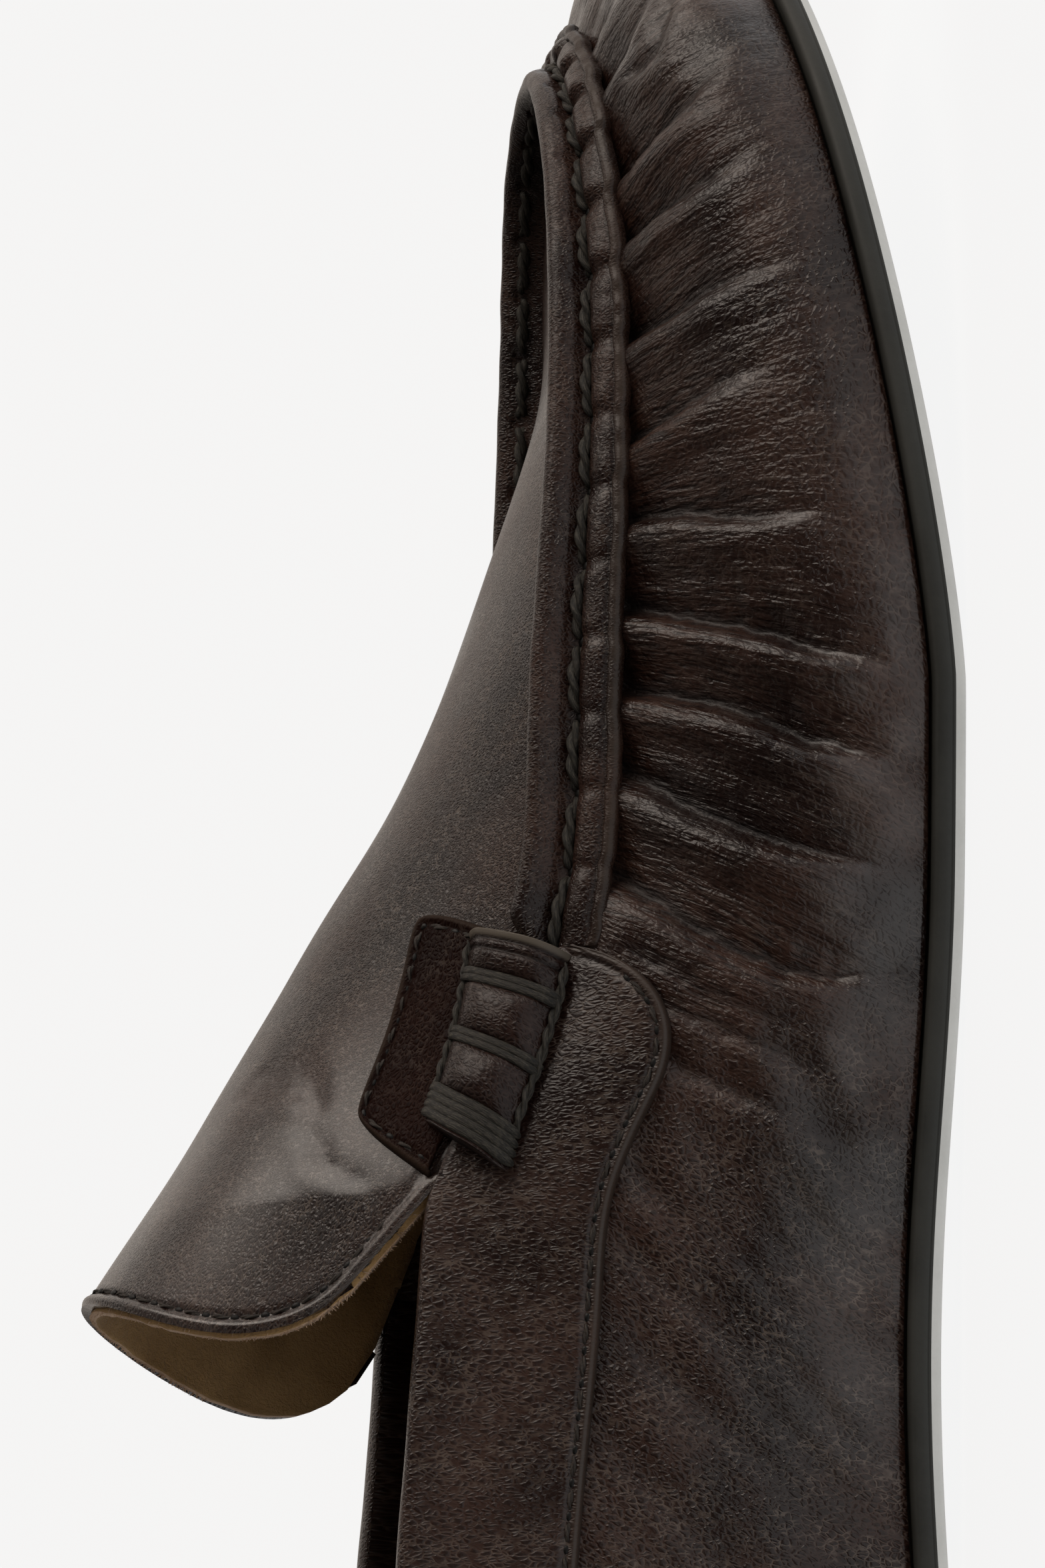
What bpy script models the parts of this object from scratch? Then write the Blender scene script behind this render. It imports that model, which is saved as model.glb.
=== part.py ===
"""Moccasin toe loafer, a right shoe, as an assembly of sole, insole, upper and stitched-on pieces.

Sizes are millimetres measured from the back of the heel: Y runs to the toe, +X to the lateral side and
+Z up from the floor. The meshes are placed in metres with the origin under the middle of the sole.
"""
import math
from typing import NamedTuple

import bmesh
import bpy
import numpy as np

MM = 0.001
SHOE_LENGTH = 258.0
GAP = 0.35

SOLE_THICKNESS = 3.4
ARCH_RISE = 2.0
ARCH_BACK = 45.0
ARCH_FRONT = 144.0
SPRING_START = 162.0
SPRING_LENGTH = 75.0
SPRING_RISE = 12.9
SPRING_POWER = 1.28

UPPER_WALL = 1.8
OVERLAY_THICKNESS = 1.2
INSOLE_THICKNESS = 2.0
INSOLE_INSET = 2.7

QUARTER_COLUMNS = 16
VAMP_COLUMNS = 26
WALL_ROWS = 10
APRON_STRIPS = 12
TONGUE_ROWS = 6
SECTION_SAMPLES = 41
NUDGE_T = 0.001
NUDGE_SHARE = 0.01
NUDGE_K = 0.01
NUDGE_P = 0.01
TIP_K = 0.02
SMOOTH_ANGLE = math.radians(50)

APRON_ARCH_POWER = 2.2

TONGUE_RUN = np.array([-4.5, -17.0, 14.0])
TONGUE_BOW = 9.2
TONGUE_TAPER = 0.04

RIDGE_END_Y = 139.8
SKIRT_WIDTH = 5.4
RIDGE_TOE_HEIGHT = 4.0
RIDGE_SADDLE_HEIGHT = 5.8
RIDGE_BACK = 2.4
RIDGE_LEAN = 0.2
RIDGE_FOOT_OUT = 0.9
RIDGE_FOOT_UP = 1.8
RIDGE_SHOULDER_OUT = 0.6
RIDGE_SHOULDER_DROP = 0.8
RIDGE_TOP_IN = 0.5
RIDGE_INNER_IN = 1.6
RIDGE_INNER_DROP = 0.5
GROOVE_DROP = 0.8
GROOVE_LIFT = 1.15
SKIRT_SWELL = 0.2

BAND_FRONT_Y = 137.0
BAND_WIDTH = 18.5
BAND_HEEL_NARROWING = 2.5
BAND_CORNER = 15.0
BAND_ROWS = 6
BAND_CORNER_STEPS = (0.04, 0.12, 0.3, 0.55, 0.8)

TAB_ROWS = 6
TAB_STRIPS = 4

ROLL_CLEARANCE = 2.0
ROLL_SIDE = 0.9
ROLL_CROWN = 2.0
ROLL_PINCH = 0.8
ROLL_RIDGE = 0.4
ROLL_SEGMENTS = 3
ROLL_COLUMNS_PER_SEGMENT = 5


class Station(NamedTuple):
    """One section round the shoe: where the wall meets the sole, where its rim is, and how it bulges."""

    name: str
    foot_x: float
    foot_y: float
    rim_x: float
    rim_y: float
    rim_z: float
    low_out: float
    low_up: float
    high_out: float
    high_down: float


STATIONS = [
    Station("heel_back", 0.0, 1.5, 0.0, 5.0, 58.5, 5.0, 17.0, 4.0, 18.0),
    Station("heel_corner", 16.5, 6.0, 13.0, 9.5, 58.2, 5.0, 17.0, 4.0, 18.0),
    Station("heel_side", 27.0, 24.0, 22.8, 26.5, 57.2, 4.5, 16.0, 3.5, 17.0),
    Station("rear_quarter", 30.2, 50.0, 26.8, 52.0, 56.0, 4.0, 16.0, 3.0, 17.0),
    Station("waist", 31.8, 80.0, 28.2, 80.0, 54.7, 4.0, 16.0, 2.5, 16.0),
    Station("collar_front", 33.4, 99.0, 27.6, 102.6, 52.9, 4.0, 16.0, 3.0, 15.0),
    Station("throat", 34.4, 109.0, 27.0, 112.6, 51.6, 4.0, 15.0, 4.0, 13.0),
    Station("roll", 36.4, 123.0, 26.8, 124.5, 45.6, 4.0, 14.0, 6.0, 10.0),
    Station("saddle", 38.6, 138.0, 26.8, 139.5, 39.4, 3.5, 13.0, 8.0, 8.0),
    Station("ball", 41.6, 162.0, 26.4, 163.0, 37.4, 3.0, 12.0, 9.0, 8.0),
    Station("outer_joint", 41.3, 187.0, 24.9, 186.5, 36.0, 3.0, 12.0, 10.0, 7.5),
    Station("little_toe", 38.0, 210.0, 21.8, 208.0, 35.4, 3.5, 12.0, 11.0, 6.0),
    Station("toe_corner", 31.0, 229.0, 16.6, 224.0, 35.8, 4.0, 12.0, 12.5, 4.5),
    Station("toe_front", 17.0, 246.0, 8.3, 233.4, 36.4, 4.0, 12.0, 13.5, 3.2),
    Station("toe_tip", -4.5, 256.5, -3.0, 236.8, 36.6, 4.0, 12.0, 14.0, 2.8),
    Station("toe_front_medial", -24.0, 249.5, -13.8, 232.8, 36.7, 4.0, 12.0, 13.5, 3.2),
    Station("toe_corner_medial", -35.5, 234.0, -21.3, 223.5, 36.4, 4.0, 12.0, 12.5, 4.5),
    Station("big_toe", -40.8, 212.0, -25.2, 208.0, 36.2, 3.5, 12.0, 11.0, 6.0),
    Station("inner_joint", -41.2, 189.0, -26.6, 187.0, 36.7, 3.0, 12.0, 10.0, 7.5),
    Station("ball_medial", -38.0, 164.0, -27.0, 164.0, 38.0, 3.0, 12.0, 8.0, 8.0),
    Station("saddle_medial", -31.5, 138.0, -27.2, 139.5, 39.8, 3.5, 13.0, 6.5, 9.0),
    Station("roll_medial", -28.2, 123.0, -27.0, 124.5, 46.0, 4.0, 14.0, 5.0, 11.0),
    Station("throat_medial", -26.4, 109.0, -27.0, 112.0, 51.8, 4.0, 15.0, 3.0, 13.0),
    Station("collar_front_medial", -25.8, 99.0, -27.1, 102.0, 53.1, 4.0, 16.0, 2.5, 15.0),
    Station("waist_medial", -25.6, 80.0, -27.0, 80.0, 54.8, 4.0, 16.0, 2.5, 16.0),
    Station("rear_quarter_medial", -28.0, 50.0, -26.2, 52.0, 56.1, 4.0, 16.0, 3.0, 17.0),
    Station("heel_side_medial", -26.8, 24.0, -22.6, 26.5, 57.2, 4.5, 16.0, 3.5, 17.0),
    Station("heel_corner_medial", -16.5, 6.0, -13.0, 9.5, 58.2, 5.0, 17.0, 4.0, 18.0),
]


class CrestPoint(NamedTuple):
    """Height of the apron or tongue on the shoe's middle line."""

    name: str
    y: float
    z: float


CREST = [
    CrestPoint("past_tongue", 98.0, 89.8),
    CrestPoint("tongue_end", 104.8, 85.5),
    CrestPoint("tongue_root", 122.2, 74.5),
    CrestPoint("saddle", 143.3, 62.6),
    CrestPoint("ramp", 157.5, 54.3),
    CrestPoint("ramp_foot", 172.0, 48.0),
    CrestPoint("bulge", 186.0, 43.4),
    CrestPoint("dip_start", 195.0, 40.3),
    CrestPoint("dip", 206.0, 37.7),
    CrestPoint("toe_flat", 225.0, 36.6),
    CrestPoint("toe", 242.0, 36.4),
]


class TongueHalf(NamedTuple):
    """How one half of the tongue ends: its rounded corner, and how far its free corner sags and reaches back."""

    corner: float
    power: float
    droop: float
    stretch: float


LATERAL_TONGUE = TongueHalf(0.45, 7.0, 0.15, 1.3)
MEDIAL_TONGUE = TongueHalf(0.68, 7.3, 8.0, 4.4)


class CrossLine(NamedTuple):
    """A line laid across the seam: how far from the rim and where along the shoe each end is."""

    apron_reach: float
    apron_y: float
    wall_reach: float
    wall_y: float


ROLL_FRONT = CrossLine(8.2, 138.8, 3.2, 135.8)
ROLL_BACK = CrossLine(3.0, 118.4, 7.4, 113.9)


class TabEdge(NamedTuple):
    """Front or back edge of a saddle tab: its distance in from the rim and its place at both ends."""

    inner_reach: float
    inner_y: float
    rim_reach: float
    rim_y: float


TAB_FRONT = TabEdge(17.0, 142.8, 1.2, 137.2)
TAB_BACK = TabEdge(12.8, 119.3, 1.2, 113.4)


class SoleRing(NamedTuple):
    """One loop of the sole's side: how far outside the foot line and how high above the tread."""

    out: float
    height: float


SOLE_RINGS = [
    SoleRing(0.2, 0.0),
    SoleRing(1.5, 1.5),
    SoleRing(1.5, SOLE_THICKNESS - 0.5),
    SoleRing(0.9, SOLE_THICKNESS),
]

INSOLE_RINGS = [
    SoleRing(-INSOLE_INSET, SOLE_THICKNESS + GAP),
    SoleRing(-INSOLE_INSET, SOLE_THICKNESS + GAP + INSOLE_THICKNESS),
]


class Finish(NamedTuple):
    """Plain surface values of one piece."""

    colour: tuple
    roughness: float


LEATHER = Finish((0.043, 0.026, 0.020, 1.0), 0.42)
RIDGE_LEATHER = Finish((0.050, 0.030, 0.023, 1.0), 0.40)
RUBBER = Finish((0.018, 0.019, 0.017, 1.0), 0.60)
LINING = Finish((0.250, 0.160, 0.070, 1.0), 0.90)


class Spline:
    """Smooth curve through rows of values; a closed one has one knot more than it has rows."""

    def __init__(self, knots, rows, closed=False):
        rows = np.asarray(rows, dtype=float)
        self.closed = closed
        self.knots = np.asarray(knots, dtype=float)
        self.rows = np.vstack([rows, rows[:1]]) if closed else rows
        self.steps = np.diff(self.knots)
        slopes = np.diff(self.rows, axis=0) / self.steps[:, None]
        system = np.eye(len(self.rows))
        turns = np.zeros_like(self.rows)
        for i in range(1, len(self.steps)):
            before, after = self.steps[i - 1:i + 1]
            system[i, i - 1:i + 2] = before, 2 * (before + after), after
            turns[i] = 6 * (slopes[i] - slopes[i - 1])
        if closed:
            before, after = self.steps[-1], self.steps[0]
            system[0, [-2, 0, 1]] = before, 2 * (before + after), after
            turns[0] = 6 * (slopes[0] - slopes[-1])
            system[-1, 0] = -1.0
        self.bends = np.linalg.solve(system, turns)

    def __call__(self, t):
        t = np.atleast_1d(np.asarray(t, dtype=float))
        t = np.mod(t, 1.0) if self.closed else t
        i = np.clip(np.searchsorted(self.knots, t, side="right") - 1, 0, len(self.steps) - 1)
        h = self.steps[i][:, None]
        b = (t - self.knots[i])[:, None] / h
        a = 1 - b
        bend = ((a**3 - a) * self.bends[i] + (b**3 - b) * self.bends[i + 1]) * h**2 / 6
        return a * self.rows[i] + b * self.rows[i + 1] + bend


def station_knots():
    """Share of the way round the shoe at each station, by the mean of foot and rim lengths."""
    foot = np.array([[s.foot_x, s.foot_y] for s in STATIONS])
    rim = np.array([[s.rim_x, s.rim_y] for s in STATIONS])
    lengths = sum(np.linalg.norm(np.roll(line, -1, axis=0) - line, axis=1) for line in (foot, rim))
    return np.concatenate([[0.0], np.cumsum(lengths)]) / lengths.sum()


KNOTS = station_knots()
SECTION = Spline(KNOTS, [s[1:] for s in STATIONS], closed=True)
CREST_LINE = Spline([c.y for c in CREST], [[c.z] for c in CREST])
STATION_T = {s.name: KNOTS[i] for i, s in enumerate(STATIONS)}
TIP_T = STATION_T["toe_tip"]


def tread_height(y):
    """Height of the sole's underside: flat heel, low arch, flat ball and toe spring."""
    y = np.asarray(y, dtype=float)
    across_arch = np.clip((y - ARCH_BACK) / (ARCH_FRONT - ARCH_BACK), 0.0, 1.0)
    past_ball = np.clip((y - SPRING_START) / SPRING_LENGTH, 0.0, None)
    return ARCH_RISE * np.sin(math.pi * across_arch) ** 2 + SPRING_RISE * past_ball**SPRING_POWER


def outward(t, first):
    """Level direction pointing out of the loop whose x and y columns start at first."""
    along = (SECTION(t + NUDGE_T) - SECTION(t - NUDGE_T))[:, first:first + 2]
    along /= np.linalg.norm(along, axis=1)[:, None]
    return np.stack([along[:, 1], -along[:, 0], np.zeros(len(along))], axis=1)


def wall(t, share):
    """Points on the wall's outside: share 0 is at the sole and 1 at the rim, by length up the wall."""
    t = np.atleast_1d(np.asarray(t, dtype=float))
    share = np.atleast_1d(np.asarray(share, dtype=float))
    row = SECTION(t)
    foot_z = tread_height(row[:, 1]) + SOLE_THICKNESS + GAP
    foot = np.stack([row[:, 0], row[:, 1], foot_z], axis=1)
    rim = row[:, 2:5]
    up = np.array([0.0, 0.0, 1.0])
    low = foot + outward(t, 0) * row[:, 5:6] + up * row[:, 6:7]
    high = rim + outward(t, 2) * row[:, 7:8] - up * row[:, 8:9]
    b = np.linspace(0.0, 1.0, SECTION_SAMPLES)[None, :, None]
    a = 1.0 - b
    curve = a**3 * foot[:, None] + 3 * a**2 * b * low[:, None]
    curve += 3 * a * b**2 * high[:, None] + b**3 * rim[:, None]
    lengths = np.linalg.norm(np.diff(curve, axis=1), axis=2)
    run = np.concatenate([np.zeros((len(t), 1)), np.cumsum(lengths, axis=1)], axis=1)
    points = np.empty((len(t), len(share), 3))
    for i in range(len(t)):
        for axis in range(3):
            points[i, :, axis] = np.interp(share * run[i, -1], run[i], curve[i, :, axis])
    return points


def wall_length(t):
    """Length of the wall's section from sole to rim."""
    points = wall(t, np.linspace(0.0, 1.0, SECTION_SAMPLES))
    return np.linalg.norm(np.diff(points, axis=1), axis=2).sum(axis=1)


def unit(vectors):
    """Vectors at length one."""
    return vectors / np.linalg.norm(vectors, axis=-1)[..., None]


def wall_normal(t, share):
    """Outward normals of the wall at one pair of t and share."""
    along = wall(t + NUDGE_T, share) - wall(t - NUDGE_T, share)
    up = wall(t, min(share + NUDGE_SHARE, 1.0)) - wall(t, share - NUDGE_SHARE)
    return unit(np.cross(along, up))[0, 0]


def crest_height(y):
    """Height of the apron and tongue along the middle of the shoe."""
    return float(CREST_LINE(y)[0, 0])


def rim_t(k, side):
    """Place round the shoe of the apron's edge, k from 0 at the tip to 1 at the throat."""
    throat = STATION_T["throat"] if side > 0 else STATION_T["throat_medial"]
    return TIP_T + (throat - TIP_T) * k


def apron_edge(k, side):
    """Edge of the apron on one side (+1 lateral, -1 medial); past k = 1 it is the tongue's rail."""
    rim = SECTION(rim_t(min(k, 1.0), side))[0, 2:5]
    return rim + max(k - 1.0, 0.0) * TONGUE_RUN * np.array([side, 1.0, 1.0])


def apron(k, p):
    """Point on the apron or tongue: p runs across from -1, the medial edge, to +1, the lateral edge."""
    medial = apron_edge(k, -1)
    lateral = apron_edge(k, 1)
    bow = TONGUE_BOW * max(k - 1.0, 0.0)
    point = medial + (lateral - medial) * (p + 1.0) / 2.0
    crest_y = (medial[1] + lateral[1]) / 2.0 + bow
    rise = crest_height(crest_y) - (medial[2] + lateral[2]) / 2.0
    point[1] += bow * (1.0 - p * p)
    point[2] += rise * (1.0 - abs(p) ** APRON_ARCH_POWER)
    return point


def tongue(r, q):
    """Point on the free tongue: r from 0 at the throat to 1 at its end, q from -1 to 1 across it."""
    half = LATERAL_TONGUE if q >= 0.0 else MEDIAL_TONGUE
    rounding = 1.0 - math.sqrt(1.0 - abs(q) ** half.power)
    reach = r * (1.0 - half.corner * rounding)
    point = apron(1.0 + reach, q * (1.0 - TONGUE_TAPER * reach))
    point[1] -= half.stretch * reach * q * q
    point[2] -= half.droop * reach * q * q
    return point


def apron_normal(k, p):
    """Normal of the apron, pointing up and out."""
    k = max(k, TIP_K)
    back = apron(k + NUDGE_K, p) - apron(k - NUDGE_K, p)
    across = apron(k, min(p + NUDGE_P, 1.0)) - apron(k, max(p - NUDGE_P, -1.0))
    return unit(np.cross(back, across))


def apron_under(x, y):
    """Values of k and p of the apron's point that lies at this x and y."""
    low, high = 0.0, 2.0
    for _ in range(40):
        k = (low + high) / 2.0
        medial = apron_edge(k, -1)
        lateral = apron_edge(k, 1)
        share = (x - medial[0]) / (lateral[0] - medial[0])
        ahead = medial[1] + (lateral[1] - medial[1]) * share > y
        low, high = (k, high) if ahead else (low, k)
    return k, 2.0 * share - 1.0


def apron_inset(k, side, distance):
    """Value of p at a distance in from the apron's edge, measured over its surface."""
    steps = np.linspace(1.0, 0.0, 101)
    points = np.array([apron(k, side * p) for p in steps])
    run = np.concatenate([[0.0], np.cumsum(np.linalg.norm(np.diff(points, axis=0), axis=1))])
    return side * float(np.interp(distance, run, steps))


def k_at(y, side):
    """Place along the apron's edge where the rim has this y."""
    ks = np.linspace(0.0, 1.0, 401)
    ys = SECTION(rim_t(ks, side))[:, 3]
    return float(np.interp(-y, -ys, ks))


def vamp_ks():
    """Places along the apron's edge where the upper has its columns."""
    return np.arange(VAMP_COLUMNS + 1) / VAMP_COLUMNS


def loop_columns():
    """Places round the whole shoe where the upper, sole and insole have their columns, heel first."""
    lateral_quarter = np.linspace(0.0, STATION_T["throat"], QUARTER_COLUMNS + 1)[:-1]
    lateral_vamp = rim_t(vamp_ks()[::-1], 1)
    medial_vamp = rim_t(vamp_ks()[1:], -1)
    medial_quarter = np.linspace(STATION_T["throat_medial"], 1.0, QUARTER_COLUMNS + 1)[1:-1]
    return np.concatenate([lateral_quarter, lateral_vamp, medial_vamp, medial_quarter])


def place(bm, point):
    """New vertex at a point given in millimetres from the heel."""
    return bm.verts.new((point[0] * MM, (point[1] - SHOE_LENGTH / 2) * MM, point[2] * MM))


def skin_rows(bm, rows, closed=False):
    """Faces between successive rows of vertices, closing each row on itself where asked."""
    for low, high in zip(rows, rows[1:]):
        count = len(low)
        for i in range(count if closed else count - 1):
            after = (i + 1) % count
            bm.faces.new((low[i], low[after], high[after], high[i]))


def ladder_cap(bm, ring):
    """Flat cap over a ring, made of rungs from each column to the one across the shoe."""
    count = len(ring)
    half = count // 2
    for i in range(half):
        corners = [ring[i], ring[i + 1], ring[(count - i - 1) % count], ring[(count - i) % count]]
        bm.faces.new(list(dict.fromkeys(corners)))


def finish_object(name, bm, finish):
    """Object with the mesh, its own material and smooth shading."""
    bmesh.ops.recalc_face_normals(bm, faces=bm.faces)
    mesh = bpy.data.meshes.new(name)
    bm.to_mesh(mesh)
    bm.free()
    mesh.shade_smooth()
    mesh.set_sharp_from_angle(angle=SMOOTH_ANGLE)
    material = bpy.data.materials.new(name)
    material.use_nodes = True
    shader = material.node_tree.nodes["Principled BSDF"]
    shader.inputs["Base Color"].default_value = finish.colour
    shader.inputs["Roughness"].default_value = finish.roughness
    mesh.materials.append(material)
    piece = bpy.data.objects.new(name, mesh)
    bpy.context.scene.collection.objects.link(piece)
    return piece


def thicken(piece, thickness, offset):
    """Give an open skin its wall, growing along its normals (offset 1) or against them (offset -1)."""
    solid = piece.modifiers.new("wall", "SOLIDIFY")
    solid.thickness = thickness * MM
    solid.offset = offset
    solid.use_even_offset = True
    return piece


def ringed_slab(name, rings, finish):
    """Slab that follows the foot line and the tread, one ring of vertices for each row of its side."""
    t = loop_columns()
    row = SECTION(t)
    foot = np.stack([row[:, 0], row[:, 1], tread_height(row[:, 1])], axis=1)
    out = outward(t, 0)
    bm = bmesh.new()
    loops = []
    for ring in rings:
        points = foot + out * ring.out + np.array([0.0, 0.0, ring.height])
        loops.append([place(bm, point) for point in points])
    skin_rows(bm, loops, closed=True)
    ladder_cap(bm, loops[0])
    ladder_cap(bm, loops[-1])
    return finish_object(name, bm, finish)


def upper():
    """Hollow upper: wall from sole to rim, apron between the rims, and the tongue growing from it."""
    bm = bmesh.new()
    t = loop_columns()
    points = wall(t, np.linspace(0.0, 1.0, WALL_ROWS + 1))
    rows = [[place(bm, points[i, j]) for i in range(len(t))] for j in range(WALL_ROWS + 1)]
    skin_rows(bm, rows, closed=True)
    rim = rows[-1]
    tip = QUARTER_COLUMNS + VAMP_COLUMNS
    across = np.linspace(-1.0, 1.0, APRON_STRIPS + 1)
    strips = []
    for step, k in enumerate(vamp_ks()[1:], start=1):
        inner = [place(bm, apron(k, p)) for p in across[1:-1]]
        strips.append([rim[tip + step]] + inner + [rim[tip - step]])
    for left, right in zip(strips[0], strips[0][1:]):
        bm.faces.new((rim[tip], left, right))
    for r in np.linspace(0.0, 1.0, TONGUE_ROWS + 1)[1:]:
        strips.append([place(bm, tongue(r, q)) for q in across])
    skin_rows(bm, strips)
    return thicken(finish_object("upper", bm, LEATHER), UPPER_WALL, -1)


def ridge_profile(k, side):
    """Section of the moccasin seam at one place: skirt on the vamp, groove, and standing fold."""
    t = float(rim_t(k, side))
    length = float(wall_length(t)[0])
    rim = wall(t, 1.0)[0, 0]
    out = outward(np.array([t]), 2)[0]
    behind = rim - out * RIDGE_BACK
    back_k, back_p = apron_under(behind[0], behind[1])
    apron_n = apron_normal(back_k, back_p)
    wall_n = wall_normal(t, 1.0 - NUDGE_SHARE)
    middle_n = unit(wall_n + apron_n)
    stand = unit((1.0 - RIDGE_LEAN) * np.array([0.0, 0.0, 1.0]) + RIDGE_LEAN * middle_n)
    height = RIDGE_TOE_HEIGHT + (RIDGE_SADDLE_HEIGHT - RIDGE_TOE_HEIGHT) * k

    def on_wall(distance, lift):
        share = 1.0 - distance / length
        return wall(t, share)[0, 0] + wall_normal(t, share) * lift

    top = rim + stand * height
    return [
        rim + middle_n * GAP,
        on_wall(SKIRT_WIDTH / 2, GAP),
        on_wall(SKIRT_WIDTH, GAP),
        on_wall(SKIRT_WIDTH, GAP + OVERLAY_THICKNESS),
        on_wall(SKIRT_WIDTH / 2, GAP + OVERLAY_THICKNESS + SKIRT_SWELL),
        on_wall(GROOVE_DROP, GROOVE_LIFT),
        rim + out * RIDGE_FOOT_OUT + stand * RIDGE_FOOT_UP,
        top + out * RIDGE_SHOULDER_OUT - stand * RIDGE_SHOULDER_DROP,
        top - out * RIDGE_TOP_IN,
        top - out * RIDGE_INNER_IN - stand * RIDGE_INNER_DROP,
        apron(back_k, back_p) + apron_n * GAP,
    ]


def seam_ridge():
    """U-shaped moccasin seam from one roll round the toe to the other."""
    places = []
    for side in (1, -1):
        end = k_at(RIDGE_END_Y, side)
        ks = [k for k in vamp_ks()[1:] if k < end - NUDGE_K] + [end]
        side_places = [(k, side) for k in ks]
        places = side_places[::-1] + [(0.0, 1)] if side > 0 else places + side_places
    bm = bmesh.new()
    rows = []
    for k, side in places:
        rows.append([place(bm, point) for point in ridge_profile(k, side)])
    skin_rows(bm, rows, closed=True)
    bm.faces.new(rows[0])
    bm.faces.new(rows[-1])
    return finish_object("seam_ridge", bm, RIDGE_LEATHER)


def band_drop(t):
    """How far the collar band reaches down from the rim, with its round front corners."""
    rim_y = float(SECTION(t)[0, 3])
    width = BAND_WIDTH - BAND_HEEL_NARROWING * (1.0 - min(rim_y / BAND_FRONT_Y, 1.0))
    behind_front = min((BAND_FRONT_Y - rim_y) / BAND_CORNER, 1.0)
    return width * math.sqrt(1.0 - (1.0 - behind_front) ** 2)


def collar_band():
    """Overlay on the quarters, from one roll round the heel to the other."""
    columns = loop_columns()
    lateral = [t for t in columns if t < TIP_T and SECTION(t)[0, 3] < BAND_FRONT_Y - BAND_CORNER]
    medial = [t for t in columns if t > TIP_T and SECTION(t)[0, 3] < BAND_FRONT_Y - BAND_CORNER]
    front = {}
    for side in (1, -1):
        ys = [BAND_FRONT_Y - BAND_CORNER * step for step in BAND_CORNER_STEPS]
        front[side] = [float(rim_t(k_at(y, side), side)) for y in ys]
    places = front[-1] + medial + lateral + front[1][::-1]
    bm = bmesh.new()
    rows = []
    for t in places:
        length = float(wall_length(t)[0])
        drops = band_drop(t) * np.linspace(1.0, 0.0, BAND_ROWS + 1)
        row = []
        for drop in drops:
            share = 1.0 - drop / length
            row.append(place(bm, wall(t, share)[0, 0] + wall_normal(t, share) * GAP))
        rows.append(row)
    skin_rows(bm, rows)
    return thicken(finish_object("collar_band", bm, LEATHER), OVERLAY_THICKNESS, 1)


def tab(name, side):
    """Stitched saddle tab lying on the apron beside the throat."""
    bm = bmesh.new()
    rows = []
    for along in np.linspace(0.0, 1.0, TAB_ROWS + 1):
        edge = TabEdge(*(np.array(TAB_FRONT) * (1.0 - along) + np.array(TAB_BACK) * along))
        row = []
        for across in np.linspace(0.0, 1.0, TAB_STRIPS + 1):
            k = k_at(edge.rim_y + (edge.inner_y - edge.rim_y) * across, side)
            p = apron_inset(k, side, edge.rim_reach + (edge.inner_reach - edge.rim_reach) * across)
            row.append(place(bm, apron(k, p) + apron_normal(k, p) * GAP))
        rows.append(row)
    skin_rows(bm, rows)
    return thicken(finish_object(name, bm, LEATHER), OVERLAY_THICKNESS, 1)


def roll_profile(line, side, puff):
    """Section of the bound roll, which lies over the rim between tab and collar band."""
    apron_k = k_at(line.apron_y, side)
    p = apron_inset(apron_k, side, line.apron_reach)
    wall_t = float(rim_t(k_at(line.wall_y, side), side))
    share = 1.0 - line.wall_reach / float(wall_length(wall_t)[0])
    wall_part = line.wall_reach / (line.wall_reach + line.apron_reach)
    rim_y = line.wall_y + (line.apron_y - line.wall_y) * wall_part
    rim = wall(float(rim_t(k_at(rim_y, side), side)), 1.0)[0, 0]
    wall_n = wall_normal(wall_t, share)
    apron_n = apron_normal(apron_k, p)
    middle_n = unit(wall_n + apron_n)
    on_wall = wall(wall_t, share)[0, 0]
    on_apron = apron(apron_k, p)
    side_lift = ROLL_CLEARANCE + ROLL_SIDE
    crown_lift = side_lift + ROLL_CROWN * puff
    return [
        on_wall + wall_n * ROLL_CLEARANCE,
        on_wall + wall_n * side_lift,
        on_wall * 0.75 + on_apron * 0.25 + middle_n * crown_lift,
        (on_wall + on_apron) / 2 + middle_n * (crown_lift + ROLL_RIDGE),
        on_wall * 0.25 + on_apron * 0.75 + middle_n * crown_lift,
        on_apron + apron_n * side_lift,
        on_apron + apron_n * ROLL_CLEARANCE,
        rim + middle_n * ROLL_CLEARANCE,
    ]


def beef_roll(name, side):
    """Rolled strip pinched between its puffed segments where thread binds it."""
    bm = bmesh.new()
    rows = []
    count = ROLL_SEGMENTS * ROLL_COLUMNS_PER_SEGMENT
    for step in range(count + 1):
        along = step / count
        line = CrossLine(*(np.array(ROLL_FRONT) * (1.0 - along) + np.array(ROLL_BACK) * along))
        swell = abs(math.sin(math.pi * step / ROLL_COLUMNS_PER_SEGMENT))
        puff = 1.0 - ROLL_PINCH * (1.0 - math.sqrt(swell))
        rows.append([place(bm, point) for point in roll_profile(line, side, puff)])
    skin_rows(bm, rows, closed=True)
    bm.faces.new(rows[0])
    bm.faces.new(rows[-1])
    return finish_object(name, bm, RIDGE_LEATHER)


def main():
    """Clear the scene and build every piece under one empty."""
    for old in list(bpy.data.objects):
        bpy.data.objects.remove(old)
    shoe = bpy.data.objects.new("loafer", None)
    bpy.context.scene.collection.objects.link(shoe)
    pieces = [
        ringed_slab("outsole", SOLE_RINGS, RUBBER),
        ringed_slab("insole", INSOLE_RINGS, LINING),
        upper(),
        seam_ridge(),
        collar_band(),
        tab("tab_lateral", 1),
        tab("tab_medial", -1),
        beef_roll("beef_roll_lateral", 1),
        beef_roll("beef_roll_medial", -1),
    ]
    for piece in pieces:
        piece.parent = shoe


main()
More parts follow.
